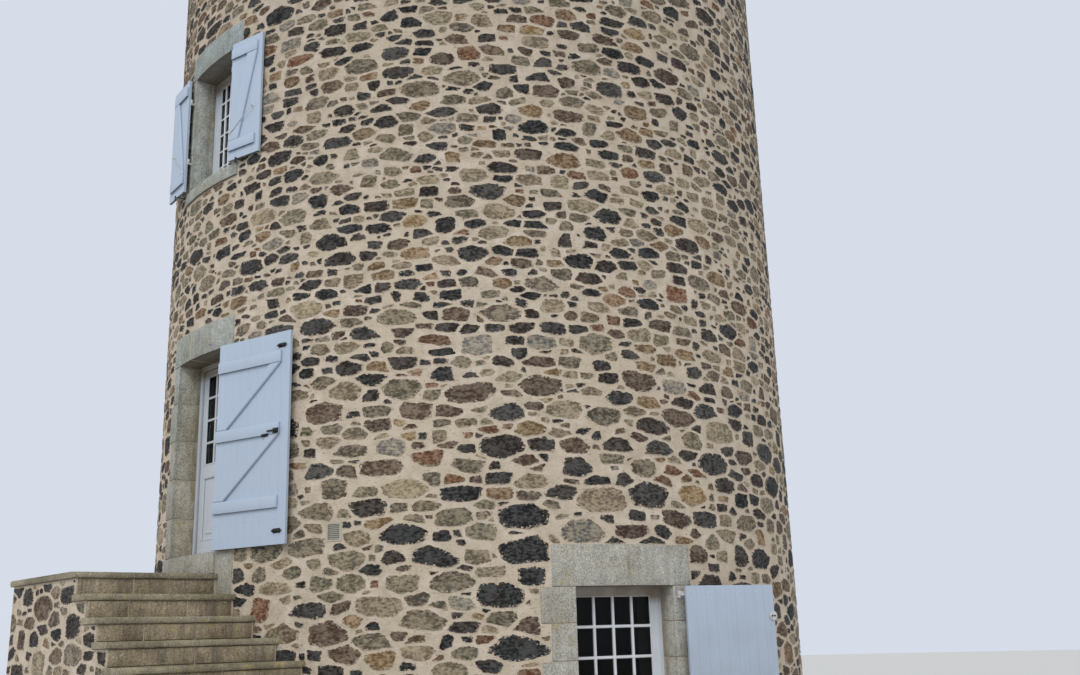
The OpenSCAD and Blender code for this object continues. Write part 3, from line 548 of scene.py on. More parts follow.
# Painted light: a lighter copy of the joinery paint for the glazing bars
LIT_BAR_PAINT = painted("bar_coat_lit", paint(237, 240, 247), dirt=0.10, grain=0.2, grime_and_shade=0.6)
VENT_PLASTIC = painted("vent_finish", paint(176, 172, 160), dirt=0.6, grain=0.1, relief=0.0003)
GLASS = clear_glass()
WHITE_IRON = metal_finish("white_iron_finish", paint(208, 212, 217), paint(168, 166, 158),
                          metallic=0.0, rough=0.45)
BLACK_IRON = metal_finish("black_iron_finish", paint(30, 31, 33), paint(52, 44, 38),
                          metallic=0.25, rough=0.45)
ZINC = metal_finish("zinc_finish", paint(150, 156, 160), paint(112, 118, 122), metallic=0.55, rough=0.45)
BRASS = metal_finish("handle_finish", paint(150, 132, 92), paint(104, 92, 66), metallic=0.7, rough=0.32)
ROOF_WOOD = bare_wood("roof_wood_finish", paint(132, 116, 94), paint(98, 84, 66), along="X")
FLOOR_WOOD = bare_wood("floor_wood_finish", paint(166, 136, 98), paint(132, 104, 72), along="X")


# Modelling helpers

def deselect():
    """Leaves nothing selected and edit mode closed"""
    if bpy.context.object and bpy.context.object.mode != "OBJECT":
        bpy.ops.object.mode_set(mode="OBJECT")
    bpy.ops.object.select_all(action="DESELECT")


def pick(*pieces):
    """Selects these pieces alone, the first of them active"""
    deselect()
    for piece in pieces:
        piece.select_set(True)
    bpy.context.view_layer.objects.active = pieces[0]


def place_applied():
    """Puts the place, the turn and the scale of what is selected into its mesh"""
    bpy.ops.object.transform_apply(location=True, rotation=True, scale=True)


def round_edges(piece, width, steps=2, angle=30):
    """Bevels the edges that are sharper than an angle, in degrees"""
    bevel = piece.modifiers.new("round", "BEVEL")
    bevel.width = width
    bevel.segments = steps
    bevel.limit_method = "ANGLE"
    bevel.angle_limit = math.radians(angle)
    bpy.ops.object.modifier_apply(modifier=bevel.name)


def raw_piece(name, points, faces, tones=None):
    """A piece made of points and faces, with a colour at each point where tones are given: a stone's own
    colour, and for rubble the painted shade and light of its rim and crown
    """
    mesh = bpy.data.meshes.new(name)
    mesh.from_pydata(points, [], faces)
    if tones:
        shade = mesh.attributes.new("stone_tint", "FLOAT_COLOR", "POINT")
        shade.data.foreach_set("color", np.array(tones, np.float32).ravel())
    piece = bpy.data.objects.new(name, mesh)
    bpy.context.collection.objects.link(piece)
    return piece


def plank(x0, x1, y0, y1, z0, z1, chamfer=0.003, steps=1, lean=0.0):
    """A board between two corners with chamfered edges, its top moved sideways by lean"""
    deselect()
    bpy.ops.mesh.primitive_cube_add(size=1, location=((x0 + x1) / 2, (y0 + y1) / 2, (z0 + z1) / 2))
    piece = bpy.context.object
    piece.scale = (abs(x1 - x0), abs(y1 - y0), abs(z1 - z0))
    place_applied()
    if lean:
        for corner in piece.data.vertices:
            corner.select = corner.co.z > (z0 + z1) / 2
        for edge in piece.data.edges:
            edge.select = all(piece.data.vertices[v].select for v in edge.vertices)
        for face in piece.data.polygons:
            face.select = all(piece.data.vertices[v].select for v in face.vertices)
        bpy.ops.object.mode_set(mode="EDIT")
        bpy.ops.transform.translate(value=(lean, 0, 0))
    else:
        bpy.ops.object.mode_set(mode="EDIT")
    bpy.ops.mesh.select_all(action="SELECT")
    bpy.ops.mesh.bevel(offset=chamfer, segments=steps, affect="EDGES")
    bpy.ops.object.mode_set(mode="OBJECT")
    return piece


def rod(start, end, radius, sides=12, cap=0.0):
    """A round bar between two points, its ends rounded by cap"""
    start, end = Vector(start), Vector(end)
    along = end - start
    deselect()
    bpy.ops.mesh.primitive_cylinder_add(vertices=sides, radius=radius, depth=along.length,
                                        location=(start + end) / 2,
                                        rotation=along.to_track_quat("Z", "Y").to_euler())
    piece = bpy.context.object
    place_applied()
    if cap:
        round_edges(piece, cap, angle=50)
    return piece


def dome(place, radius, flat=0.5, outward=(0, -1, 0)):
    """A rounded bolt head on a surface"""
    deselect()
    bpy.ops.mesh.primitive_uv_sphere_add(segments=12, ring_count=8, radius=radius)
    piece = bpy.context.object
    piece.scale = (1, 1, flat)
    piece.rotation_euler = Vector(outward).to_track_quat("Z", "Y").to_euler()
    piece.location = place
    place_applied()
    return piece


def one_piece(name, parts, turn=None):
    """Joins parts to one named piece, put in place by a turn"""
    pick(*parts)
    if len(parts) > 1:
        bpy.ops.object.join()
    piece = bpy.context.object
    piece.name = name
    piece.data.name = name
    if turn is not None:
        piece.matrix_world = turn
        place_applied()
    return piece


def dressed(piece, body, material, instead_of=(), smooth=35):
    """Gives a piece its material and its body"""
    piece.data.materials.clear()
    piece.data.materials.append(material)
    if smooth:
        pick(piece)
        bpy.ops.object.shade_smooth_by_angle(angle=math.radians(smooth))
    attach(piece, body)
    if instead_of:
        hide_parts(*instead_of)
    return piece


def worn_copy(node, edge, steps=2):
    """A copy of a CAD node with its corners merged and its edges worn round"""
    mesh = nodes[node].data.copy()
    piece = bpy.data.objects.new(node + "_worn", mesh)
    bpy.context.collection.objects.link(piece)
    pick(piece)
    bpy.ops.object.mode_set(mode="EDIT")
    bpy.ops.mesh.select_all(action="SELECT")
    bpy.ops.mesh.remove_doubles(threshold=0.00006)
    bpy.ops.mesh.dissolve_limited(angle_limit=math.radians(0.4))
    bpy.ops.mesh.normals_make_consistent(inside=False)
    bpy.ops.object.mode_set(mode="OBJECT")
    round_edges(piece, edge, steps)
    return piece


def hung(width, side, beside, back, azimuth=0.0):
    """Where a leaf drawn from its pin hangs beside an opening, turned back towards the wall"""
    place = Matrix.Translation((side * (width / 2 + beside), -edge_y(width) - PIN_OUT, 0))
    return turned(azimuth) @ place @ Matrix.Rotation(math.radians(side * back), 4, "Z")


# Rubble stones: they lie STRETCH times as long as high, are looked up in cells of a strip, and are cut by
# their nearest neighbours; each tone has its share in the wall

STRETCH = 2.05
CELL = 0.15
NEAREST = 26
STONE_FOOT = 0.006
SMALLEST_STONE = 0.0006
STONE_TONES = [
    (17, paint(39, 38, 39)), (12, paint(55, 53, 53)), (13, paint(53, 44, 39)), (11, paint(92, 73, 61)),
    (17, paint(108, 101, 87)), (13, paint(129, 118, 99)), (6, paint(146, 132, 110)), (6, paint(130, 101, 71)),
    (4, paint(116, 75, 52)), (2, paint(146, 116, 78)), (3, paint(130, 128, 124)),
]


def stone_sizes(rng, area):
    """Radii of the stones to try, biggest first; kinds give a share and the least and greatest radius"""
    kinds = ((1.1, 0.078, 0.102), (6, 0.058, 0.075), (16, 0.044, 0.057), (24, 0.031, 0.042),
             (34, 0.018, 0.027))
    tries_per_area = 3.2
    sizes = []
    for share, low, high in kinds:
        tries = int(share * area * tries_per_area)
        sizes.extend(sorted((rng.uniform(low, high) for _ in range(tries)), reverse=True))
    return sizes


def growth_at(z):
    """How much bigger stones are at a height: most at the foot, a little at the top"""
    if z < 3.8:
        return 1.34
    if z < 4.6:
        return 1.14
    return 1.08 if z > 6.5 else 1.0


def stones_near(grid, column, row, ring, across, wraps):
    """Stones laid in the cells round one cell, round the end of a closed strip too"""
    for beside in range(-ring, ring + 1):
        place = (column + beside) % across if wraps else column + beside
        for above in range(-ring, ring + 1):
            yield from grid.get((place, row + above), ())


def lay_stones(rng, length, top, wraps, blocked):
    """Middles (u, z) and radii of stones on a flat strip, u being the length divided by STRETCH"""
    in_course, course_low, course_high, course_play, closeness = 0.7, 0.085, 0.135, 0.009, 0.83
    span = length / STRETCH
    across = max(1, int(span / CELL))
    width = span / across
    grid = {}
    laid = []
    courses = [0.0]
    while courses[-1] < top:
        courses.append(courses[-1] + rng.uniform(course_low, course_high))
    for radius in stone_sizes(rng, length * top):
        u, z = rng.uniform(0, span), rng.uniform(0.0, top)
        if rng.random() < in_course:
            z = min(top, rng.choice(courses) + rng.gauss(0, course_play))
        radius *= growth_at(z)
        if blocked(u * STRETCH, z):
            continue
        column, row = int(u / width), int(z / CELL)
        for other_u, other_z, other in stones_near(grid, column, row, 1, across, wraps):
            du = abs(u - other_u)
            if wraps and du > span / 2:
                du = span - du
            reach = (radius + other) * closeness
            if du * du + (z - other_z) ** 2 < reach * reach:
                break
        else:
            stone = (u, z, radius)
            grid.setdefault((min(column, across - 1), row), []).append(stone)
            laid.append(stone)
    return laid, grid, (span, width, across)


def cut_outline(outline, nx, nz, limit):
    """What stays of an outline on the near side of a line nx*x + nz*z = limit"""
    kept = []
    last = outline[-1]
    last_side = nx * last[0] + nz * last[1] - limit
    for point in outline:
        side = nx * point[0] + nz * point[1] - limit
        if (side < 0) != (last_side < 0):
            share = last_side / (last_side - side)
            kept.append((last[0] + (point[0] - last[0]) * share, last[1] + (point[1] - last[1]) * share))
        if side < 0:
            kept.append(point)
        last, last_side = point, side
    return kept


def own_shape(rng, radius):
    """A stone's shape before its neighbours cut it: a block, a lens or a wedge, leaning a little"""
    on_end, mirrored, upside_down = 0.14, 0.5, 0.35
    blocks_to, lenses_to, wedges_to = 0.50, 0.66, 0.88
    wide = radius * STRETCH * rng.uniform(0.76, 1.42)
    high = radius * rng.uniform(0.76, 1.24)
    if rng.random() < on_end:
        wide, high = wide * 0.62, radius * rng.uniform(1.05, 1.35)
    kind = rng.random()
    if kind < blocks_to:
        corners = [(-1, -0.95), (1, -1), (0.95, 1), (-1.05, 0.9)]
    elif kind < lenses_to:
        corners = [(-1.12, 0.1), (-0.7, -0.95), (0.6, -1.0), (1.12, -0.1), (0.75, 0.92), (-0.55, 1.0)]
    elif kind < wedges_to:
        corners = [(-1.1, -0.95), (1.1, -0.8), (1.0, 0.05), (0.2, 0.95), (-0.6, 1.0)]
    else:
        corners = [(-1.05, -0.8), (0.75, -1.0), (1.1, 0.4), (0.5, 1.0), (-0.6, 0.55)]
    if rng.random() < mirrored:
        corners = [(-x, z) for x, z in reversed(corners)]
    if rng.random() < upside_down:
        corners = [(x, -z) for x, z in reversed(corners)]
    lean = rng.gauss(0, 0.10)
    return [(x * wide * rng.uniform(0.84, 1.12), (z * high + x * wide * lean) * rng.uniform(0.86, 1.1))
            for x, z in corners]


def stone_outline(rng, stone, grid, strip, wraps, boxes, ceiling):
    """Outline of one stone round its middle, in metres: its cell among its neighbours less the joint"""
    u, z, radius = stone
    span, width, across = strip
    least_joint, joint_share, joint_play, box_joint, box_near = 0.004, 0.05, 0.006, 0.010, 0.5
    joint = least_joint + joint_share * radius + rng.uniform(0, joint_play)
    near = []
    for other_u, other_z, other in stones_near(grid, int(u / width), int(z / CELL), 2, across, wraps):
        du = other_u - u
        if wraps:
            du = (du + span / 2) % span - span / 2
        dz = other_z - z
        square = du * du + dz * dz
        if square > 1e-9:
            near.append((square, du, dz, other))
    near.sort()
    cuts = []
    for square, du, dz, other in near[:NEAREST]:
        gap = math.sqrt(square)
        half = (square + radius * radius - other * other) / (2 * gap)
        nx, nz = du / gap / STRETCH, dz / gap
        size = math.hypot(nx, nz)
        cuts.append((nx / size, nz / size, half / size - joint))
    s = u * STRETCH
    for x0, x1, z0, z1 in boxes:
        sides = ((x0 - s, 1, 0), (s - x1, -1, 0), (z0 - z, 0, 1), (z - z1, 0, -1))
        gap, nx, nz, limit = max((g / (STRETCH if a else 1), a, b, g) for g, a, b in sides)
        if gap < box_near:
            cuts.append((nx, nz, limit - box_joint))
    cuts += [(0, -1, z - STONE_FOOT), (0, 1, ceiling - z)]
    outline = own_shape(rng, radius)
    for nx, nz, limit in cuts:
        outline = cut_outline(outline, nx, nz, limit)
        if len(outline) < 3:
            return None
    return outline


def rough_outline(rng, outline):
    """Middle and points of an outline, its corners broken once and its points knocked about"""
    point_every, short_side, cut_low, cut_high = 0.045, 0.006, 0.05, 0.22
    broken = []
    for a, b in zip(outline, outline[1:] + outline[:1]):
        side = math.hypot(b[0] - a[0], b[1] - a[1])
        if side < short_side:
            broken.append(((a[0] + b[0]) / 2, (a[1] + b[1]) / 2))
            continue
        first, second = rng.uniform(cut_low, cut_high), rng.uniform(cut_low, cut_high)
        number = 1 + int(side * (1 - first - second) / point_every)
        for j in range(number + 1):
            inside = 0 < j < number
            share = first + (1 - first - second) * (j + (rng.uniform(-0.2, 0.2) if inside else 0)) / number
            lift = rng.uniform(-0.0055, 0.0045) / side if inside else 0.0
            broken.append((a[0] + (b[0] - a[0]) * share + (b[1] - a[1]) * lift,
                           a[1] + (b[1] - a[1]) * share - (b[0] - a[0]) * lift))
    mx = sum(p[0] for p in broken) / len(broken)
    mz = sum(p[1] for p in broken) / len(broken)
    knocked = []
    for x, z in broken:
        grow = rng.uniform(0.94, 1.04)
        knocked.append((mx + (x - mx) * grow, mz + (z - mz) * grow))
    return mx, mz, knocked


def outline_area(points):
    """Area inside an outline"""
    return abs(sum(points[i - 1][0] * points[i][1] - points[i][0] * points[i - 1][1]
                   for i in range(len(points)))) / 2


def shaped_stones(rng, laid, grid, strip, wraps, boxes_near, ceiling):
    """Place, height, middle and outline of each laid stone that is big enough once it is cut"""
    shaped = []
    for stone in laid:
        s, z = stone[0] * STRETCH, stone[1]
        outline = stone_outline(rng, stone, grid, strip, wraps, boxes_near(s, z), ceiling)
        if not outline:
            continue
        mx, mz, outline = rough_outline(rng, outline)
        if outline_area(outline) >= SMALLEST_STONE:
            shaped.append((s, z, mx, mz, outline))
    return shaped


def stone_tone(rng):
    """A stone's colour from the wall's mixture"""
    at = rng.uniform(0, sum(share for share, _ in STONE_TONES))
    for share, tone in STONE_TONES:
        at -= share
        if at <= 0:
            break
    light = rng.uniform(0.74, 1.30)
    return tuple(c * light * rng.uniform(0.95, 1.05) for c in tone[:3]) + (1.0,)


def stone_faces(rng, outlines, relief):
    """Points (s, z, height), faces and tones of many stones: a sunk rim, an arris and a rough crown, the
    tones darker at the rim and lighter at the crown as painted shade and light
    """
    rim_depth, arris_in, big_stone = -0.006, 0.955, 0.011
    points, faces, tones = [], [], []
    for s, z, mx, mz, outline in outlines:
        count = len(outline)
        first = len(points)
        rise = rng.uniform(0.45, 0.75) * relief
        tilt_x, tilt_z = rng.uniform(-0.02, 0.02), rng.uniform(-0.03, 0.03)
        crown = rng.uniform(0.1, 0.25) * relief
        for x, y in outline:
            points.append((s + x, z + y, rim_depth))
        for x, y in outline:
            points.append((s + mx + (x - mx) * arris_in, z + mz + (y - mz) * arris_in,
                           rise * rng.uniform(0.75, 1.0) + tilt_x * (x - mx) + tilt_z * (y - mz)))
        rings = 2 if outline_area(outline) > big_stone else 1
        if rings == 2:
            inner = rng.uniform(0.45, 0.62)
            for x, y in outline:
                share = inner * rng.uniform(0.85, 1.15)
                swell = crown * rng.uniform(0.2, 1.8) + (tilt_x * (x - mx) + tilt_z * (y - mz)) * 0.6
                points.append((s + mx + (x - mx) * share, z + mz + (y - mz) * share,
                               min(relief, rise + swell)))
        points.append((s + mx, z + mz, min(relief, rise + crown * rng.uniform(0.4, 1.8))))
        for ring in range(rings):
            for i in range(count):
                a, b = first + ring * count + i, first + ring * count + (i + 1) % count
                faces.append((a, b, b + count, a + count))
        for i in range(count):
            faces.append((first + rings * count + i, first + rings * count + (i + 1) % count,
                          first + (rings + 1) * count))
        tone = stone_tone(rng)
        # Each ring's tone: the stone's colour painted darker at the rim and arris as painted shade and
        # lighter at the crown as painted light
        for number, light, from_rim in ((count, 0.6, 0.0), (count, 0.85, 0.36),
                                        (count * (rings - 1), 1.05, 1.0), (1, 1.1, 1.0)):
            tones.extend([tuple(c * light for c in tone[:3]) + (from_rim,)] * number)
    return points, faces, tones


def stones_piece(name, outlines, seed, put, relief):
    """One piece of many stones, put(s, z, height) giving their places"""
    points, faces, tones = stone_faces(random.Random(seed), outlines, relief)
    flat = np.array(points)
    piece = raw_piece(name, put(flat[:, 0], flat[:, 1], flat[:, 2]).tolist(), faces, tones)
    dressed(piece, "tower", STONE, smooth=32)


# Dressed stone: how far sills run past an opening and their height, and for each surround its lintel's
# height, its length past the opening, its number of jamb blocks and their long and short reach on both sides
SILL_PAST, SILL_H = 0.112, 0.14
UPPER_STONE = (0.293, 0.105, 1, (0.101, 0.101), (0.101, 0.101))
LOWER_STONE = (0.373, 0.215, 4, (0.323, 0.234), (0.199, 0.199))
REAR_STONE = (0.373, 0.215, 4, (0.323, 0.234), (0.323, 0.234))
DOOR_JAMBS = (5, (0.250, 0.175), (0.276, 0.201))
DOOR_LINTEL = (-0.70, 0.661, 4.545, 4.862)
DOOR_FOOT = (-0.76, 0.786, 2.03, 2.48)

# Each bay of rubble, with the degrees between which it runs, counted from opposite the door
BAYS = (("stones_back", 0, 22.5), ("stones_rear", 22.5, 49.7), ("stones_back_lower", 49.7, 94.7),
        ("stones_far", 94.7, 157.5), ("stones_front", 157.5, 202.5), ("stones_near", 202.5, 229.7),
        ("stones_lower_window", 229.7, 274.7), ("stones_right", 274.7, 337.5),
        ("stones_back_right", 337.5, 360))


def jamb_boxes(half, z0, height, number, left, right):
    """Boxes of the jamb blocks, short and long by turns; left and right list (long, short)"""
    boxes = []
    step = height / number
    for i in range(number):
        a, b = left[(i + 1) % 2], right[(i + 1) % 2]
        boxes.append((-half - a, half + b, z0 + i * step, z0 + (i + 1) * step))
    return boxes


def window_stone(half, z0, height, lintel, past, number, left, right):
    """Boxes of all dressed stone and the opening of a window; past is how far the lintel runs past it"""
    boxes = jamb_boxes(half, z0, height, number, left, right)
    boxes.append((-half - past, half + past, z0 + height, z0 + height + lintel))
    boxes.append((-half - SILL_PAST, half + SILL_PAST, z0 - SILL_H, z0))
    return boxes


def on_wall(boxes, azimuth):
    """Boxes drawn flat before the wall, laid along its face, which starts opposite the door"""
    overlap = 0.3
    laid = []
    middle = math.radians((azimuth + 180) % 360)
    for x0, x1, z0, z1 in boxes:
        for turn in (-2 * math.pi, 0, 2 * math.pi):
            a, b = (middle + turn + math.asin(x / TOWER_R) for x in (x0, x1))
            if b > -overlap and a < 2 * math.pi + overlap:
                laid.append((TOWER_R * a, TOWER_R * b, z0, z1))
    return laid


def boxes_round(boxes, s, z, beside, above):
    """The boxes that a place is in, or within two distances of"""
    return [box for box in boxes
            if box[0] - beside < s < box[1] + beside and box[2] - above < z < box[3] + above]


def stair_top(x):
    """Height of the stair at a distance along it"""
    if x < -LANDING_FAR or x > STAIR_LEAVES:
        return 0.0
    if x < LANDING_NEAR:
        return RISE * STEPS
    return RISE * (STEPS - 1 - int((x - LANDING_NEAR) / GOING))


def tower_stones():
    """The rubble of the round wall, one piece for each bay"""
    beside, above, reach_s, reach_z, below_top, relief = 0.03, 0.02, 0.5, 0.4, 0.02, 0.009
    wall_seed, first_bay_seed = 41, 100
    door = jamb_boxes(DOOR_W / 2, DOOR_Z, DOOR_H, *DOOR_JAMBS) + [DOOR_LINTEL, DOOR_FOOT]
    upper = window_stone(UPPER_W / 2, UPPER_Z, UPPER_H, *UPPER_STONE)
    back = window_stone(UPPER_W / 2, BACK_Z, UPPER_H, *UPPER_STONE)
    lower = window_stone(LOWER_W / 2, LOWER_Z, LOWER_H, *LOWER_STONE)
    rear = window_stone(LOWER_W / 2, LOWER_Z, LOWER_H, *REAR_STONE)
    vent = [(-VENT_W / 2, VENT_W / 2, VENT_Z, VENT_Z + VENT_H)]
    boxes = on_wall(door + upper, 0) + on_wall(lower, LOWER_AZ) + on_wall(vent, VENT_AZ)
    boxes += on_wall(back + upper, 180) + on_wall(rear, 180 + LOWER_AZ)

    def blocked(s, z):
        angle = s / TOWER_R - math.pi
        if math.cos(angle) > 0 and z < stair_top(TOWER_R * math.sin(angle)) - beside:
            return True
        return bool(boxes_round(boxes, s, z, beside, above))

    def boxes_near(s, z):
        return boxes_round(boxes, s, z, reach_s, reach_z)

    def put(s, z, height):
        angle = s / TOWER_R - math.pi
        out = TOWER_R + height
        return np.stack([out * np.sin(angle), -out * np.cos(angle), z], axis=1)

    rng = random.Random(wall_seed)
    laid, grid, strip = lay_stones(rng, 2 * math.pi * TOWER_R, WALL_TOP, True, blocked)
    shaped = shaped_stones(rng, laid, grid, strip, True, boxes_near, WALL_TOP - below_top)
    for number, (name, low, high) in enumerate(BAYS):
        bay = [stone for stone in shaped if low <= math.degrees(stone[0] / TOWER_R) < high]
        stones_piece(name, bay, first_bay_seed + number, put, relief)


def flat_stones(name, length, top, boxes, origin, along, outward, seed):
    """Rubble on a flat upright face that starts at a point and runs along a direction"""
    beside, relief = 0.02, 0.008
    edges = boxes + [(-1, 0, -1, top + 1), (length, length + 1, -1, top + 1)]
    origin, along, outward = (np.array(v, float) for v in (origin, along, outward))

    def blocked(s, z):
        return bool(boxes_round(boxes, s, z, beside, beside))

    def put(s, z, height):
        return origin + np.outer(s, along) + np.outer(height, outward) + np.outer(z, (0, 0, 1))

    rng = random.Random(seed)
    laid, grid, strip = lay_stones(rng, length, top, False, blocked)
    shaped = shaped_stones(rng, laid, grid, strip, False, lambda s, z: edges, top)
    stones_piece(name, shaped, seed + 1, put, relief)


def stair_stones():
    """Rubble on the stair's outer side, its far end and the foot of its inner side"""
    far, bed_gap, wall_gap, side_top, inner_top, inner_length = 9, 0.004, 0.012, 2.2, 1.2, 1.17
    highest_step = 5
    landing = LANDING_FAR + LANDING_NEAR
    bed = [RISE * (STEPS - k) - TREAD_T - bed_gap for k in range(STEPS)]
    boxes = [(-1, landing, bed[0], far)]
    boxes += [(landing + GOING * (k - 1), far, bed[k], far) for k in range(1, STEPS)]
    boxes.append((landing + GOING * (STEPS - 1), far, -1, far))
    flat_stones("stair_side_stones", landing + GOING * (STEPS - 1), side_top, boxes,
                (-LANDING_FAR, -STAIR_Y, 0), (1, 0, 0), (0, -1, 0), seed=61)
    width = STAIR_Y - math.sqrt(TOWER_R ** 2 - LANDING_FAR ** 2) - wall_gap
    flat_stones("stair_end_stones", width, side_top, [(-1, far, bed[0], far)],
                (-LANDING_FAR, -STAIR_Y + width, 0), (0, -1, 0), (-1, 0, 0), seed=67)
    boxes = [(-1, GOING * (STEPS - k), bed[k], far) for k in range(highest_step, STEPS)]
    flat_stones("stair_inner_stones", inner_length, inner_top, boxes,
                (LANDING_NEAR + GOING * (STEPS - 1), -STAIR_INNER, 0), (-1, 0, 0), (0, 1, 0), seed=71)


# Joinery, with the door leaf's place in its opening, its glazed light and its lower panel

BAR_BACK = 0.042
LEAF_GAP, LEAF_IN, LEAF_T = 0.008, 0.025, 0.045
LIGHT_HALF, LIGHT_FOOT, LIGHT_TOP = 0.375, 3.454, 4.436
PANEL_FOOT, PANEL_H, PANEL_RAISED = DOOR_Z + LEAF_GAP + 0.172, 0.67, (2.73, 3.26)


def framed_panes(half, z0, height, columns, rows, y0, y1, bar, middle=0.0):
    """Glazing bars across a light, chamfered like the real ones and let into its edges"""
    let_in, chamfer = 0.004, 0.006
    parts = []
    for i in range(1, columns):
        x = middle - half + 2 * half * i / columns
        parts.append(plank(x - bar / 2, x + bar / 2, y0, y1, z0 - let_in, z0 + height + let_in, chamfer))
    for i in range(1, rows):
        z = z0 + height * i / rows
        parts.append(plank(middle - half - let_in, middle + half + let_in, y0 + 0.001, y1 - 0.001,
                           z - bar / 2, z + bar / 2, chamfer))
    return parts


def window_joinery(name, width, z0, height, rows, azimuth, leaves=1):
    """Bars, a drip board at the foot and the sash's bead of a window of one or two leaves"""
    stile, bead, bead_back, meeting_bead, drip_past = 0.036, 0.009, 0.02, 0.013, 0.05
    half = width / 2 - FRAME_SIDE - SASH_SIDE
    low = z0 + FRAME_HEAD
    foot = low + SASH_FOOT
    light = height - 2 * FRAME_HEAD - SASH_FOOT - SASH_HEAD
    face = -(edge_y(width) - REVEAL) + SASH_SET
    if leaves == 1:
        parts = framed_panes(half, foot, light, 4, rows, face + 0.003, face + BAR_BACK, 0.027)
    else:
        part, over = half / 2, 0.002
        parts = [plank(-stile, stile, face - over, face + BAR_BACK + over,
                       foot - over, foot + light + over, 0.004),
                 plank(-meeting_bead, meeting_bead, face - 0.014, face, low + 0.01, foot + light, 0.006, 2)]
        for side in (-1, 1):
            parts += framed_panes(part - stile / 2, foot, light, 3, rows, face + 0.003, face + BAR_BACK,
                                  0.022, side * (part + stile / 2))
    for x in (-half, half - bead):
        parts.append(plank(x, x + bead, face + 0.006, face + bead_back, foot, foot + light, 0.003))
    for z in (foot, foot + light - bead):
        parts.append(plank(-half, half, face + 0.006, face + bead_back, z, z + bead, 0.003))
    drip = half + drip_past
    parts.append(plank(-drip, drip, face - 0.011, face + 0.004, low + 0.006, low + 0.045, 0.006))
    dressed(one_piece(name, parts, turned(azimuth)), "tower", LIT_BAR_PAINT)


def door_joinery():
    """Bars, mouldings, a raised panel and a drip board on the door leaf"""
    moulding, panel_in, sunk, drip_half, drip_z = 0.018, 0.07, 0.012, 0.44, (2.52, 2.575)
    out_face = -(edge_y(DOOR_W) - REVEAL - LEAF_IN)
    in_face = out_face + LEAF_T
    parts = framed_panes(LIGHT_HALF, LIGHT_FOOT, LIGHT_TOP - LIGHT_FOOT, 4, 4,
                         out_face + 0.004, in_face - 0.004, 0.027)
    for face, step in ((out_face, -1), (in_face, 1)):
        y0, y1 = sorted((face - step * 0.011, face + step * 0.003))
        for z0, z1 in ((PANEL_FOOT, PANEL_FOOT + PANEL_H), (LIGHT_FOOT, LIGHT_TOP)):
            for x in (-LIGHT_HALF, LIGHT_HALF - moulding):
                parts.append(plank(x, x + moulding, y0, y1, z0, z1, 0.005))
            for z in (z0, z1 - moulding):
                parts.append(plank(-LIGHT_HALF, LIGHT_HALF, y0, y1, z, z + moulding, 0.005))
        y0, y1 = sorted((face - step * sunk, face - step * 0.005))
        parts.append(plank(-LIGHT_HALF + panel_in, LIGHT_HALF - panel_in, y0, y1, *PANEL_RAISED, 0.004))
    parts.append(plank(-drip_half, drip_half, out_face - 0.016, out_face + 0.002, *drip_z, 0.012))
    dressed(one_piece("door_bars", parts), "door", JOINERY_PAINT)
    dressed(one_piece("door_handle", lever_handle(out_face, in_face)), "door", BRASS)


def lever_handle(out_face, in_face):
    """A plate, a lever on its spindle and a keyhole's boss on each face of the door"""
    x, z, lever_end, keyhole_z, stand_off, plate_z = 0.425, 3.45, 0.323, 3.35, 0.018, (3.30, 3.50)
    parts = []
    for face, step in ((out_face, -1), (in_face, 1)):
        lever = face + step * stand_off
        y0, y1 = sorted((face - step * 0.001, face + step * 0.004))
        parts += [plank(x - 0.02, x + 0.02, y0, y1, *plate_z, 0.0018),
                  rod((x, face, z), (x, lever + step * 0.003, z), 0.008, cap=0.002),
                  rod((x + 0.006, lever, z), (lever_end, lever, z), 0.007, cap=0.004),
                  dome((x, face + step * 0.004, keyhole_z), 0.006, 0.4, (0, step, 0))]
    return parts


# Shutters, drawn from their pins: how far a pin stands beside its opening and the boards start from it,
# the lower leaf's width, and the chamfer of iron plates

PIN_BESIDE, PIN_IN, LOWER_PIN, LOWER_LEAF_W = 0.015, 0.023, 0.061, 0.964
IRON_EDGE = 0.0015


def boarded_leaf(side, hinge_in, width, z0, height, boards, ledges, stop):
    """Boards, ledges and braces of a leaf drawn from its pin, running to one side"""
    seam, board_edge, ledge_edge, brace_edge = 0.0002, 0.0017, 0.009, 0.007
    front, back = -BOARD_T - LEDGE_T, -BOARD_T + 0.001
    parts = []
    step = width / boards
    for i in range(boards):
        x, half = side * (hinge_in + step * (i + 0.5)), step / 2 - seam
        parts.append(plank(x - half, x + half, -BOARD_T, 0, z0, z0 + height, board_edge))
    x0, x1 = hinge_in + 0.01, hinge_in + width - stop
    for z in ledges:
        a, b = sorted((side * x0, side * x1))
        parts.append(plank(a, b, front, back, z0 + z, z0 + z + LEDGE_H, ledge_edge, 2))
    for low, high in zip(ledges, ledges[1:]):
        a, b = sorted((side * x0, side * (x0 + BRACE_W)))
        lean = side * (x1 - BRACE_W - x0)
        parts.append(plank(a, b, front + 0.001, back, z0 + low + LEDGE_H, z0 + high, brace_edge, 1, lean))
    return parts


def strap_bolts(side, hinge_in, reach, heights, number):
    """Rounded heads of the bolts that hold the straps, on the outer face of the boards"""
    first, past_ends, radius = 0.05, 0.09, 0.009
    parts = []
    for z in heights:
        for i in range(number):
            x = side * (hinge_in + first + (reach - past_ends) * i / (number - 1))
            parts.append(dome((x, -BOARD_T, z), radius, 0.45))
    return parts


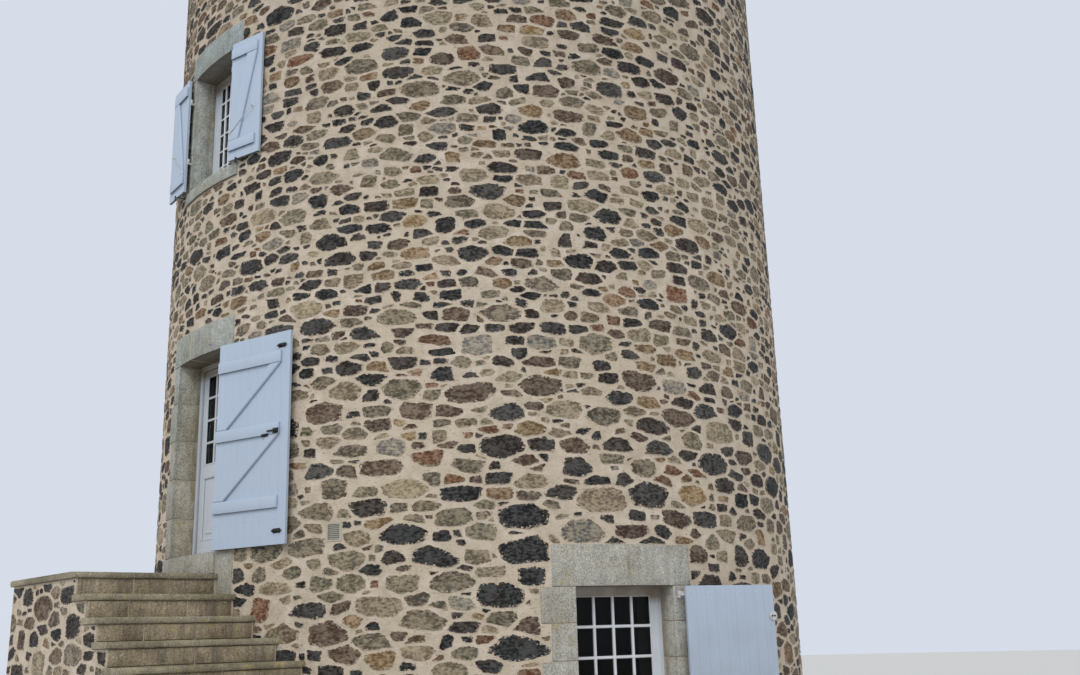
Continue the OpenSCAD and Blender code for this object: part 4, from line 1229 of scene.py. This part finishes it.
def sliding_bolt(face, z):
    """A bolt on its plate, with its knob and two staples, at a height on the door shutter"""
    plate, plate_half, plate_t = (0.875, 0.965), 0.022, 0.005
    bar, bar_out, bar_r = (0.86, 0.985), 0.013, 0.008
    knob, knob_in, knob_out, knob_r = 0.90, 0.01, 0.028, 0.006
    staples, staple_half, staple_high, staple_in, staple_out = (0.885, 0.955), 0.007, 0.016, 0.002, 0.022
    parts = [plank(*plate, face - plate_t, face, z - plate_half, z + plate_half, IRON_EDGE),
             rod((bar[0], face - bar_out, z), (bar[1], face - bar_out, z), bar_r, cap=0.003),
             rod((knob, face - knob_in, z), (knob, face - knob_out, z), knob_r, cap=0.002)]
    for x in staples:
        parts.append(plank(x - staple_half, x + staple_half, face - staple_out, face - staple_in,
                           z - staple_high, z + staple_high, 0.003))
    return parts


def latch_and_keeper(face):
    """A latch on its plate with its slanting knob, and its keeper beside it, on the middle ledge"""
    plate_t, latch_z, keeper_z = 0.004, 3.562, 3.528
    latch_plate, plate_down, plate_up = (0.85, 0.925), 0.028, 0.024
    latch, latch_out, latch_r = (0.785, 0.935), 0.013, 0.009
    knob, knob_in, knob_out, knob_drop, knob_r = 0.89, 0.008, 0.03, 0.02, 0.006
    keeper_plate, keeper_half = (0.70, 0.79), 0.016
    keeper, keeper_out, keeper_lift, keeper_r = (0.705, 0.785), 0.010, 0.006, 0.007
    return [plank(*latch_plate, face - plate_t, face, latch_z - plate_down, latch_z + plate_up, IRON_EDGE),
            rod((latch[0], face - latch_out, latch_z), (latch[1], face - latch_out, latch_z),
                latch_r, cap=0.003),
            rod((knob, face - knob_in, latch_z), (knob, face - knob_out, latch_z - knob_drop),
                knob_r, cap=0.002),
            plank(*keeper_plate, face - plate_t, face, keeper_z - keeper_half, keeper_z + keeper_half,
                  IRON_EDGE),
            rod((keeper[0], face - keeper_out, keeper_z),
                (keeper[1], face - keeper_out, keeper_z + keeper_lift), keeper_r, cap=0.003)]


def door_leaf_irons():
    """Black bolts near the door shutter's free edge and a latch on its middle ledge"""
    bolt_heights = (4.398, 2.615)
    parts = []
    for z in bolt_heights:
        parts += sliding_bolt(-BOARD_T, z)
    return parts + latch_and_keeper(-BOARD_T - LEDGE_T)


def stay_parts(side):
    """A thin stay rod with its eye and hook on an upper leaf"""
    rod_r, rod_out, sides, let_in = 0.0038, 0.004, 10, 0.001
    eye, eye_high, foot, foot_high = 0.395, 0.545, 0.06, 0.30
    hook_at, hook_back, hook_drop = 0.045, 0.02, 0.012
    boss_r, post_r, post_past = 0.016, 0.007, 0.008
    front = -BOARD_T - LEDGE_T - rod_out
    start = (side * eye, front, UPPER_Z + eye_high)
    end = (side * foot, front, UPPER_Z + foot_high)
    hook = (side * hook_at, front + hook_back, end[2] - hook_drop)
    x, _, z = start
    return [rod(start, end, rod_r, sides, 0.001),
            rod(end, hook, rod_r, sides, 0.001),
            dome((x, -BOARD_T, z), boss_r, 0.6),
            rod((x, -BOARD_T + let_in, z), (x, front - post_past, z), post_r, sides, 0.002)]


def catch_plate():
    """The white round plate on the lower shutter's free edge, and two black discs as painted shade in its
    holes
    """
    below_head, plate_in, plate_out, plate_r, plate_t = 0.30, 0.02, 0.005, 0.045, 0.012
    holes_in, hole_r, hole_low, hole_high = (0.034, 0.006), 0.010, 0.010, 0.0135
    edge = LOWER_PIN + LOWER_LEAF_W
    z = LOWER_Z + LOWER_H - below_head
    deselect()
    bpy.ops.mesh.primitive_cylinder_add(vertices=28, radius=plate_r, depth=plate_t,
                                        location=(edge - plate_in, -BOARD_T - plate_out, z),
                                        rotation=(math.pi / 2, 0, 0))
    plate = bpy.context.object
    place_applied()
    round_edges(plate, 0.004)
    # Painted shade: black discs stand for the shade inside the two holes
    hole_shades = [rod((edge - inward, -BOARD_T - hole_low, z), (edge - inward, -BOARD_T - hole_high, z),
                 hole_r, 12, 0.001) for inward in holes_in]
    return [plate], hole_shades


def leaf_piece(body, parts, place):
    """The boards of a leaf, in place of its CAD node"""
    piece = one_piece(body + "_boards", parts, place)
    dressed(piece, body, SHUTTER_PAINT, [body], smooth=25)


def door_shutter():
    """The door's leaf with its three ledges, its bolts in the same paint and its black irons"""
    foot, high, ledges, stop = DOOR_Z + LEAF_GAP, 2.049, (0.34, 1.042, 1.744), 0.108
    place = hung(DOOR_W, 1, PIN_BESIDE, back=14.3)
    parts = boarded_leaf(1, PIN_IN, 1.004, foot, high, boards=9, ledges=ledges, stop=stop)
    leaf_piece("door_shutter", parts, place)
    bolts = strap_bolts(1, PIN_IN, reach=0.896, heights=(2.73, 4.295), number=5)
    bolts = one_piece("door_shutter_bolts", bolts, place)
    dressed(bolts, "door_shutter", SHUTTER_PAINT, smooth=60)
    irons = one_piece("door_shutter_irons", door_leaf_irons(), place)
    dressed(irons, "door_shutter", BLACK_IRON)


def upper_shutters():
    """The upper window's two leaves, each with two ledges, its bolts and its stay rod"""
    foot, high, ledges, stop = UPPER_Z + LEAF_GAP, 1.386, (0.101, 1.188), 0.06
    bolt_heights = (UPPER_Z + 0.38, UPPER_Z + UPPER_H - 0.28)
    for side, back, body in ((1, 13.6, "upper_right_shutter"), (-1, 5.2, "upper_left_shutter")):
        place = hung(UPPER_W, side, PIN_BESIDE, back)
        parts = boarded_leaf(side, PIN_IN, 0.472, foot, high, boards=4, ledges=ledges, stop=stop)
        leaf_piece(body, parts, place)
        irons = strap_bolts(side, PIN_IN, 0.412, bolt_heights, number=3) + stay_parts(side)
        dressed(one_piece(body + "_bolts", irons, place), body, WHITE_IRON, smooth=60)


def lower_shutter():
    """The lower window's leaf, without ledges, with its bolts and its catch plate"""
    foot, high = LOWER_Z + LEAF_GAP, 1.284
    bolt_heights = (LOWER_Z + 0.075, LOWER_Z + LOWER_H - 0.075)
    place = hung(LOWER_W, 1, beside=0.035, back=-1.4, azimuth=LOWER_AZ)
    parts = boarded_leaf(1, LOWER_PIN, LOWER_LEAF_W, foot, high, boards=9, ledges=(), stop=0)
    leaf_piece("lower_shutter", parts, place)
    plate, hole_shades = catch_plate()
    irons = strap_bolts(1, LOWER_PIN, 0.814, bolt_heights, number=5) + plate
    irons = one_piece("lower_shutter_bolts", irons, place)
    dressed(irons, "lower_shutter", WHITE_IRON, smooth=60)
    # Painted shade in the catch's holes
    dressed(one_piece("lower_catch_hole_shade", hole_shades, place), "lower_shutter", BLACK_IRON)


# Stair, roof and the carried-over CAD nodes

def riser_blocks():
    """Dressed slabs on the faces of the steps, two or three to a step, with narrow joints"""
    seed, behind, inner_gap, outer_in, worn = 7, 0.03, 0.03, 0.004, 0.010
    joint_low, joint_high, out_low, out_high, foot_gap, tread_gap = 0.004, 0.009, 0.006, 0.017, 0.003, 0.002
    rng = random.Random(seed)
    parts = []
    for k in range(STEPS):
        x = LANDING_NEAR + GOING * k
        top = RISE * (STEPS - k) - TREAD_T
        low = max(0.0, RISE * (STEPS - 1 - k))
        inner = STAIR_INNER if x > STAIR_LEAVES else math.sqrt(TOWER_R ** 2 - x * x)
        y = -STAIR_Y + outer_in
        width = STAIR_Y - inner - inner_gap
        number = rng.choice((1, 1, 2, 2))
        cuts = [(i + 1 + rng.uniform(-0.2, 0.2)) / (number + 1) for i in range(number)]
        ends = [y] + [y + width * c for c in cuts] + [y + width]
        for a, b in zip(ends, ends[1:]):
            parts.append(plank(x - behind, x + rng.uniform(out_low, out_high),
                               a + rng.uniform(joint_low, joint_high), b - rng.uniform(joint_low, joint_high),
                               low + foot_gap, top - tread_gap, worn, 3))
    dressed(one_piece("stair_risers", parts), "tower", STAIR_GRANITE)


def ripple(rng, size):
    """A smooth wavering function of a length in metres, between -size and size"""
    circle = 6.28
    waves = [(rng.uniform(0, circle), circle / rng.uniform(low, high), share)
             for low, high, share in ((0.35, 0.6, 0.4), (0.14, 0.22, 0.35), (0.05, 0.08, 0.25))]
    return lambda t: size * sum(share * math.sin(t * pace + start) for start, pace, share in waves)


def worn_slab(rng, x0, x1, y_out, low, high, round_back):
    """Points and faces of one stone slab with worn, uneven edges, its inner end cut along the tower"""
    points_every, rows_every, edge_reach = 0.07, 0.06, 0.05
    front, back, top, side, under = (ripple(rng, size) for size in (0.005, 0.004, 0.0025, 0.005, 0.003))
    number = max(2, round((x1 - x0) / points_every))
    flat = [x0 + (x1 - x0) * (0.06 + 0.88 * i / number) for i in range(number + 1)]
    worn = ((x1 - 0.006, high - 0.004), (x1, high - 0.014), (x1, low + 0.010), (x1 - 0.006, low + 0.002))
    if round_back:
        rear = ((x0 + 0.006, low + 0.002), (x0, low + 0.010), (x0, high - 0.014), (x0 + 0.006, high - 0.004))
    else:
        rear = ((x0, low), (x0, high))
    outline = [(x, high) for x in flat] + list(worn) + [(x, low) for x in reversed(flat)] + list(rear)
    inner = [-max(STAIR_INNER, math.sqrt(max(0.0, (TOWER_R + STONE_OUT) ** 2 - x * x))) for x, _ in outline]
    length = max(inner) - y_out
    number = round(length / rows_every)
    rows = [(0.0, 0.010), (0.003, 0.004), (0.010, 0.0)]
    rows += [(length * i / number, 0.0) for i in range(1, number + 1)]
    points = []
    for along, squeeze in rows:
        for (x, z), end in zip(outline, inner):
            at_front, at_back = x > x1 - edge_reach, round_back and x < x0 + edge_reach
            y = y_out + (end - y_out) * (along / length)
            y += abs(side(x)) * max(0.0, 1 - along / edge_reach)
            inward = (abs(front(y)) if at_front else 0.0) - (abs(back(y)) if at_back else 0.0)
            if z > (low + high) / 2:
                up = -max(0.0, top(x + 2.7 * y) - squeeze)
            else:
                up = (abs(under(y + 1.9 * x)) if at_front else 0.0) + squeeze
            points.append((x - inward, y, z + up))
    count = len(outline)
    faces = [tuple(range(count)), tuple(reversed(range((len(rows) - 1) * count, len(rows) * count)))]
    for row in range(len(rows) - 1):
        for i in range(count):
            a, b = row * count + i, row * count + (i + 1) % count
            faces.append((b, a, a + count, b + count))
    return points, faces


def stair_slabs():
    """The treads and the landing as worn slabs"""
    seed = 83
    rng = random.Random(seed)
    for name, node, steps in (("tread_slabs", "stair_treads", range(1, STEPS)),
                              ("landing_slab", "stair_landing", (0,))):
        points, faces = [], []
        for k in steps:
            x0 = LANDING_NEAR + GOING * (k - 1) if k else -LANDING_FAR - NOSING
            x1 = LANDING_NEAR + GOING * k + NOSING
            high = RISE * (STEPS - k)
            new_points, new_faces = worn_slab(rng, x0, x1, -STAIR_Y - NOSING, high - TREAD_T, high, k == 0)
            first = len(points)
            points += new_points
            faces += [tuple(first + i for i in face) for face in new_faces]
        piece = raw_piece(name, points, faces)
        pick(piece)
        bpy.ops.object.mode_set(mode="EDIT")
        bpy.ops.mesh.select_all(action="SELECT")
        bpy.ops.mesh.normals_make_consistent(inside=False)
        bpy.ops.object.mode_set(mode="OBJECT")
        dressed(piece, "tower", TREAD, [node], smooth=40)


def lintel_joint():
    """The light mortar joint between the two blocks of the door's lintel"""
    middle, half, height = -0.194, 0.006, 0.311
    face = -math.sqrt((TOWER_R + STONE_OUT) ** 2 - middle ** 2)
    top = DOOR_Z + DOOR_H
    joint = plank(middle - half, middle + half, face - 0.0015, face + 0.03, top + 0.006, top + height, 0.001)
    dressed(one_piece("door_lintel_joint", [joint]), "tower", MORTAR)


def roof_slates():
    """Courses of slates on the cone, each a thin wedge with its own tone"""
    seed, gauge, cover, thick, slate_w, joint_share = 23, 0.135, 0.25, 0.007, 0.22, 0.985
    foot_gap, bed, bare_top = 0.008, 0.008, 0.15
    rng = random.Random(seed)
    greys = (paint(78, 84, 92), paint(88, 94, 101), paint(70, 76, 86), paint(96, 98, 100))
    points, faces, tones = [], [], []
    along = EAVES_R / math.cos(ROOF_PITCH)
    for row in range(int(along / gauge) - 1):
        foot = along - foot_gap - row * gauge
        head = foot - cover
        if head < bare_top:
            break
        radius = foot * math.cos(ROOF_PITCH)
        number = max(8, int(2 * math.pi * radius / slate_w))
        for i in range(number):
            middle = (i + (row % 2) * 0.5 + rng.uniform(-0.03, 0.03)) / number * 2 * math.pi
            half = math.pi / number * joint_share
            lift = rng.uniform(0.002, 0.005)
            low_edge = foot + rng.uniform(-0.006, 0.004)
            f = len(points)
            for distance, height in ((low_edge, bed + lift), (head, 0.001)):
                for turn in (-half, half):
                    for up in (0.0, thick if distance > head else 0.002):
                        r = distance * math.cos(ROOF_PITCH) + (height + up) * math.sin(ROOF_PITCH)
                        z = PEAK - distance * math.sin(ROOF_PITCH) + (height + up) * math.cos(ROOF_PITCH)
                        points.append((r * math.sin(middle + turn), -r * math.cos(middle + turn), z))
            faces += [(f, f + 2, f + 3, f + 1), (f + 1, f + 3, f + 7, f + 5), (f + 4, f + 5, f + 7, f + 6),
                      (f, f + 1, f + 5, f + 4), (f + 2, f + 6, f + 7, f + 3), (f, f + 4, f + 6, f + 2)]
            grey = rng.choice(greys)
            light = rng.uniform(0.8, 1.2)
            tones.extend([tuple(c * light for c in grey[:3]) + (1.0,)] * 8)
    dressed(raw_piece("roof_slates", points, faces, tones), "tower", SLATE, smooth=0)


SURROUNDS = ("door_lintel", "door_jambs", "door_threshold", "upper_window_surround",
             "lower_window_surround", "back_window_surrounds")
FRAMES = ("door_frame", "upper_window_frame", "lower_window_frame", "back_window_frames")


def cad_finishes():
    """Materials of the CAD nodes"""
    bays = [node for node in nodes if node.startswith("wall_") and node != "wall_plate"]
    finishes = {
        MORTAR: bays + ["stair_masonry"],
        SCREED: ["ground_floor"],
        FLOOR_WOOD: ["door_floor", "upper_floor"],
        ROOF_WOOD: ["wall_plate", "roof"],
        ZINC: ["finial"],
        GLASS: ["door_glass", "window_glass"],
        WHITE_IRON: ["door_shutter_straps", "upper_left_straps", "upper_right_straps", "lower_shutter_straps",
                     "shutter_pins"],
        BLACK_IRON: ["shutter_catches"],
        VENT_PLASTIC: ["vent_grille"],
        GRANITE: SURROUNDS,
        TREAD: ["stair_treads", "stair_landing"],
        JOINERY_PAINT: FRAMES + ("door_leaf",),
        SHUTTER_PAINT: ["door_shutter", "upper_left_shutter", "upper_right_shutter", "lower_shutter"],
    }
    for material, names in finishes.items():
        for name in names:
            slots = nodes[name].data.materials
            slots.clear()
            slots.append(material)


def worn_pieces():
    """Dressed stone and joinery with worn edges in place of the sharp CAD ones"""
    for node in SURROUNDS:
        dressed(worn_copy(node, STONE_WEAR), "tower", GRANITE, [node], smooth=30)
    for node in FRAMES:
        dressed(worn_copy(node, WOOD_WEAR, 1), "tower", JOINERY_PAINT, [node], smooth=30)
    leaf = worn_copy("door_leaf", WOOD_WEAR, 1)
    dressed(leaf, "door", JOINERY_PAINT, ["door_leaf"], smooth=30)


set_camera()
set_light()
set_floor()
cad_finishes()
worn_pieces()
window_joinery("upper_window_bars", UPPER_W, UPPER_Z, UPPER_H, rows=6, azimuth=0, leaves=2)
window_joinery("back_upper_window_bars", UPPER_W, UPPER_Z, UPPER_H, rows=6, azimuth=180, leaves=2)
window_joinery("back_window_bars", UPPER_W, BACK_Z, UPPER_H, rows=6, azimuth=180, leaves=2)
window_joinery("lower_window_bars", LOWER_W, LOWER_Z, LOWER_H, rows=4, azimuth=LOWER_AZ)
window_joinery("back_lower_window_bars", LOWER_W, LOWER_Z, LOWER_H, rows=4, azimuth=180 + LOWER_AZ)
door_joinery()
door_shutter()
upper_shutters()
lower_shutter()
riser_blocks()
stair_slabs()
lintel_joint()
roof_slates()
stair_stones()
tower_stones()

deselect()
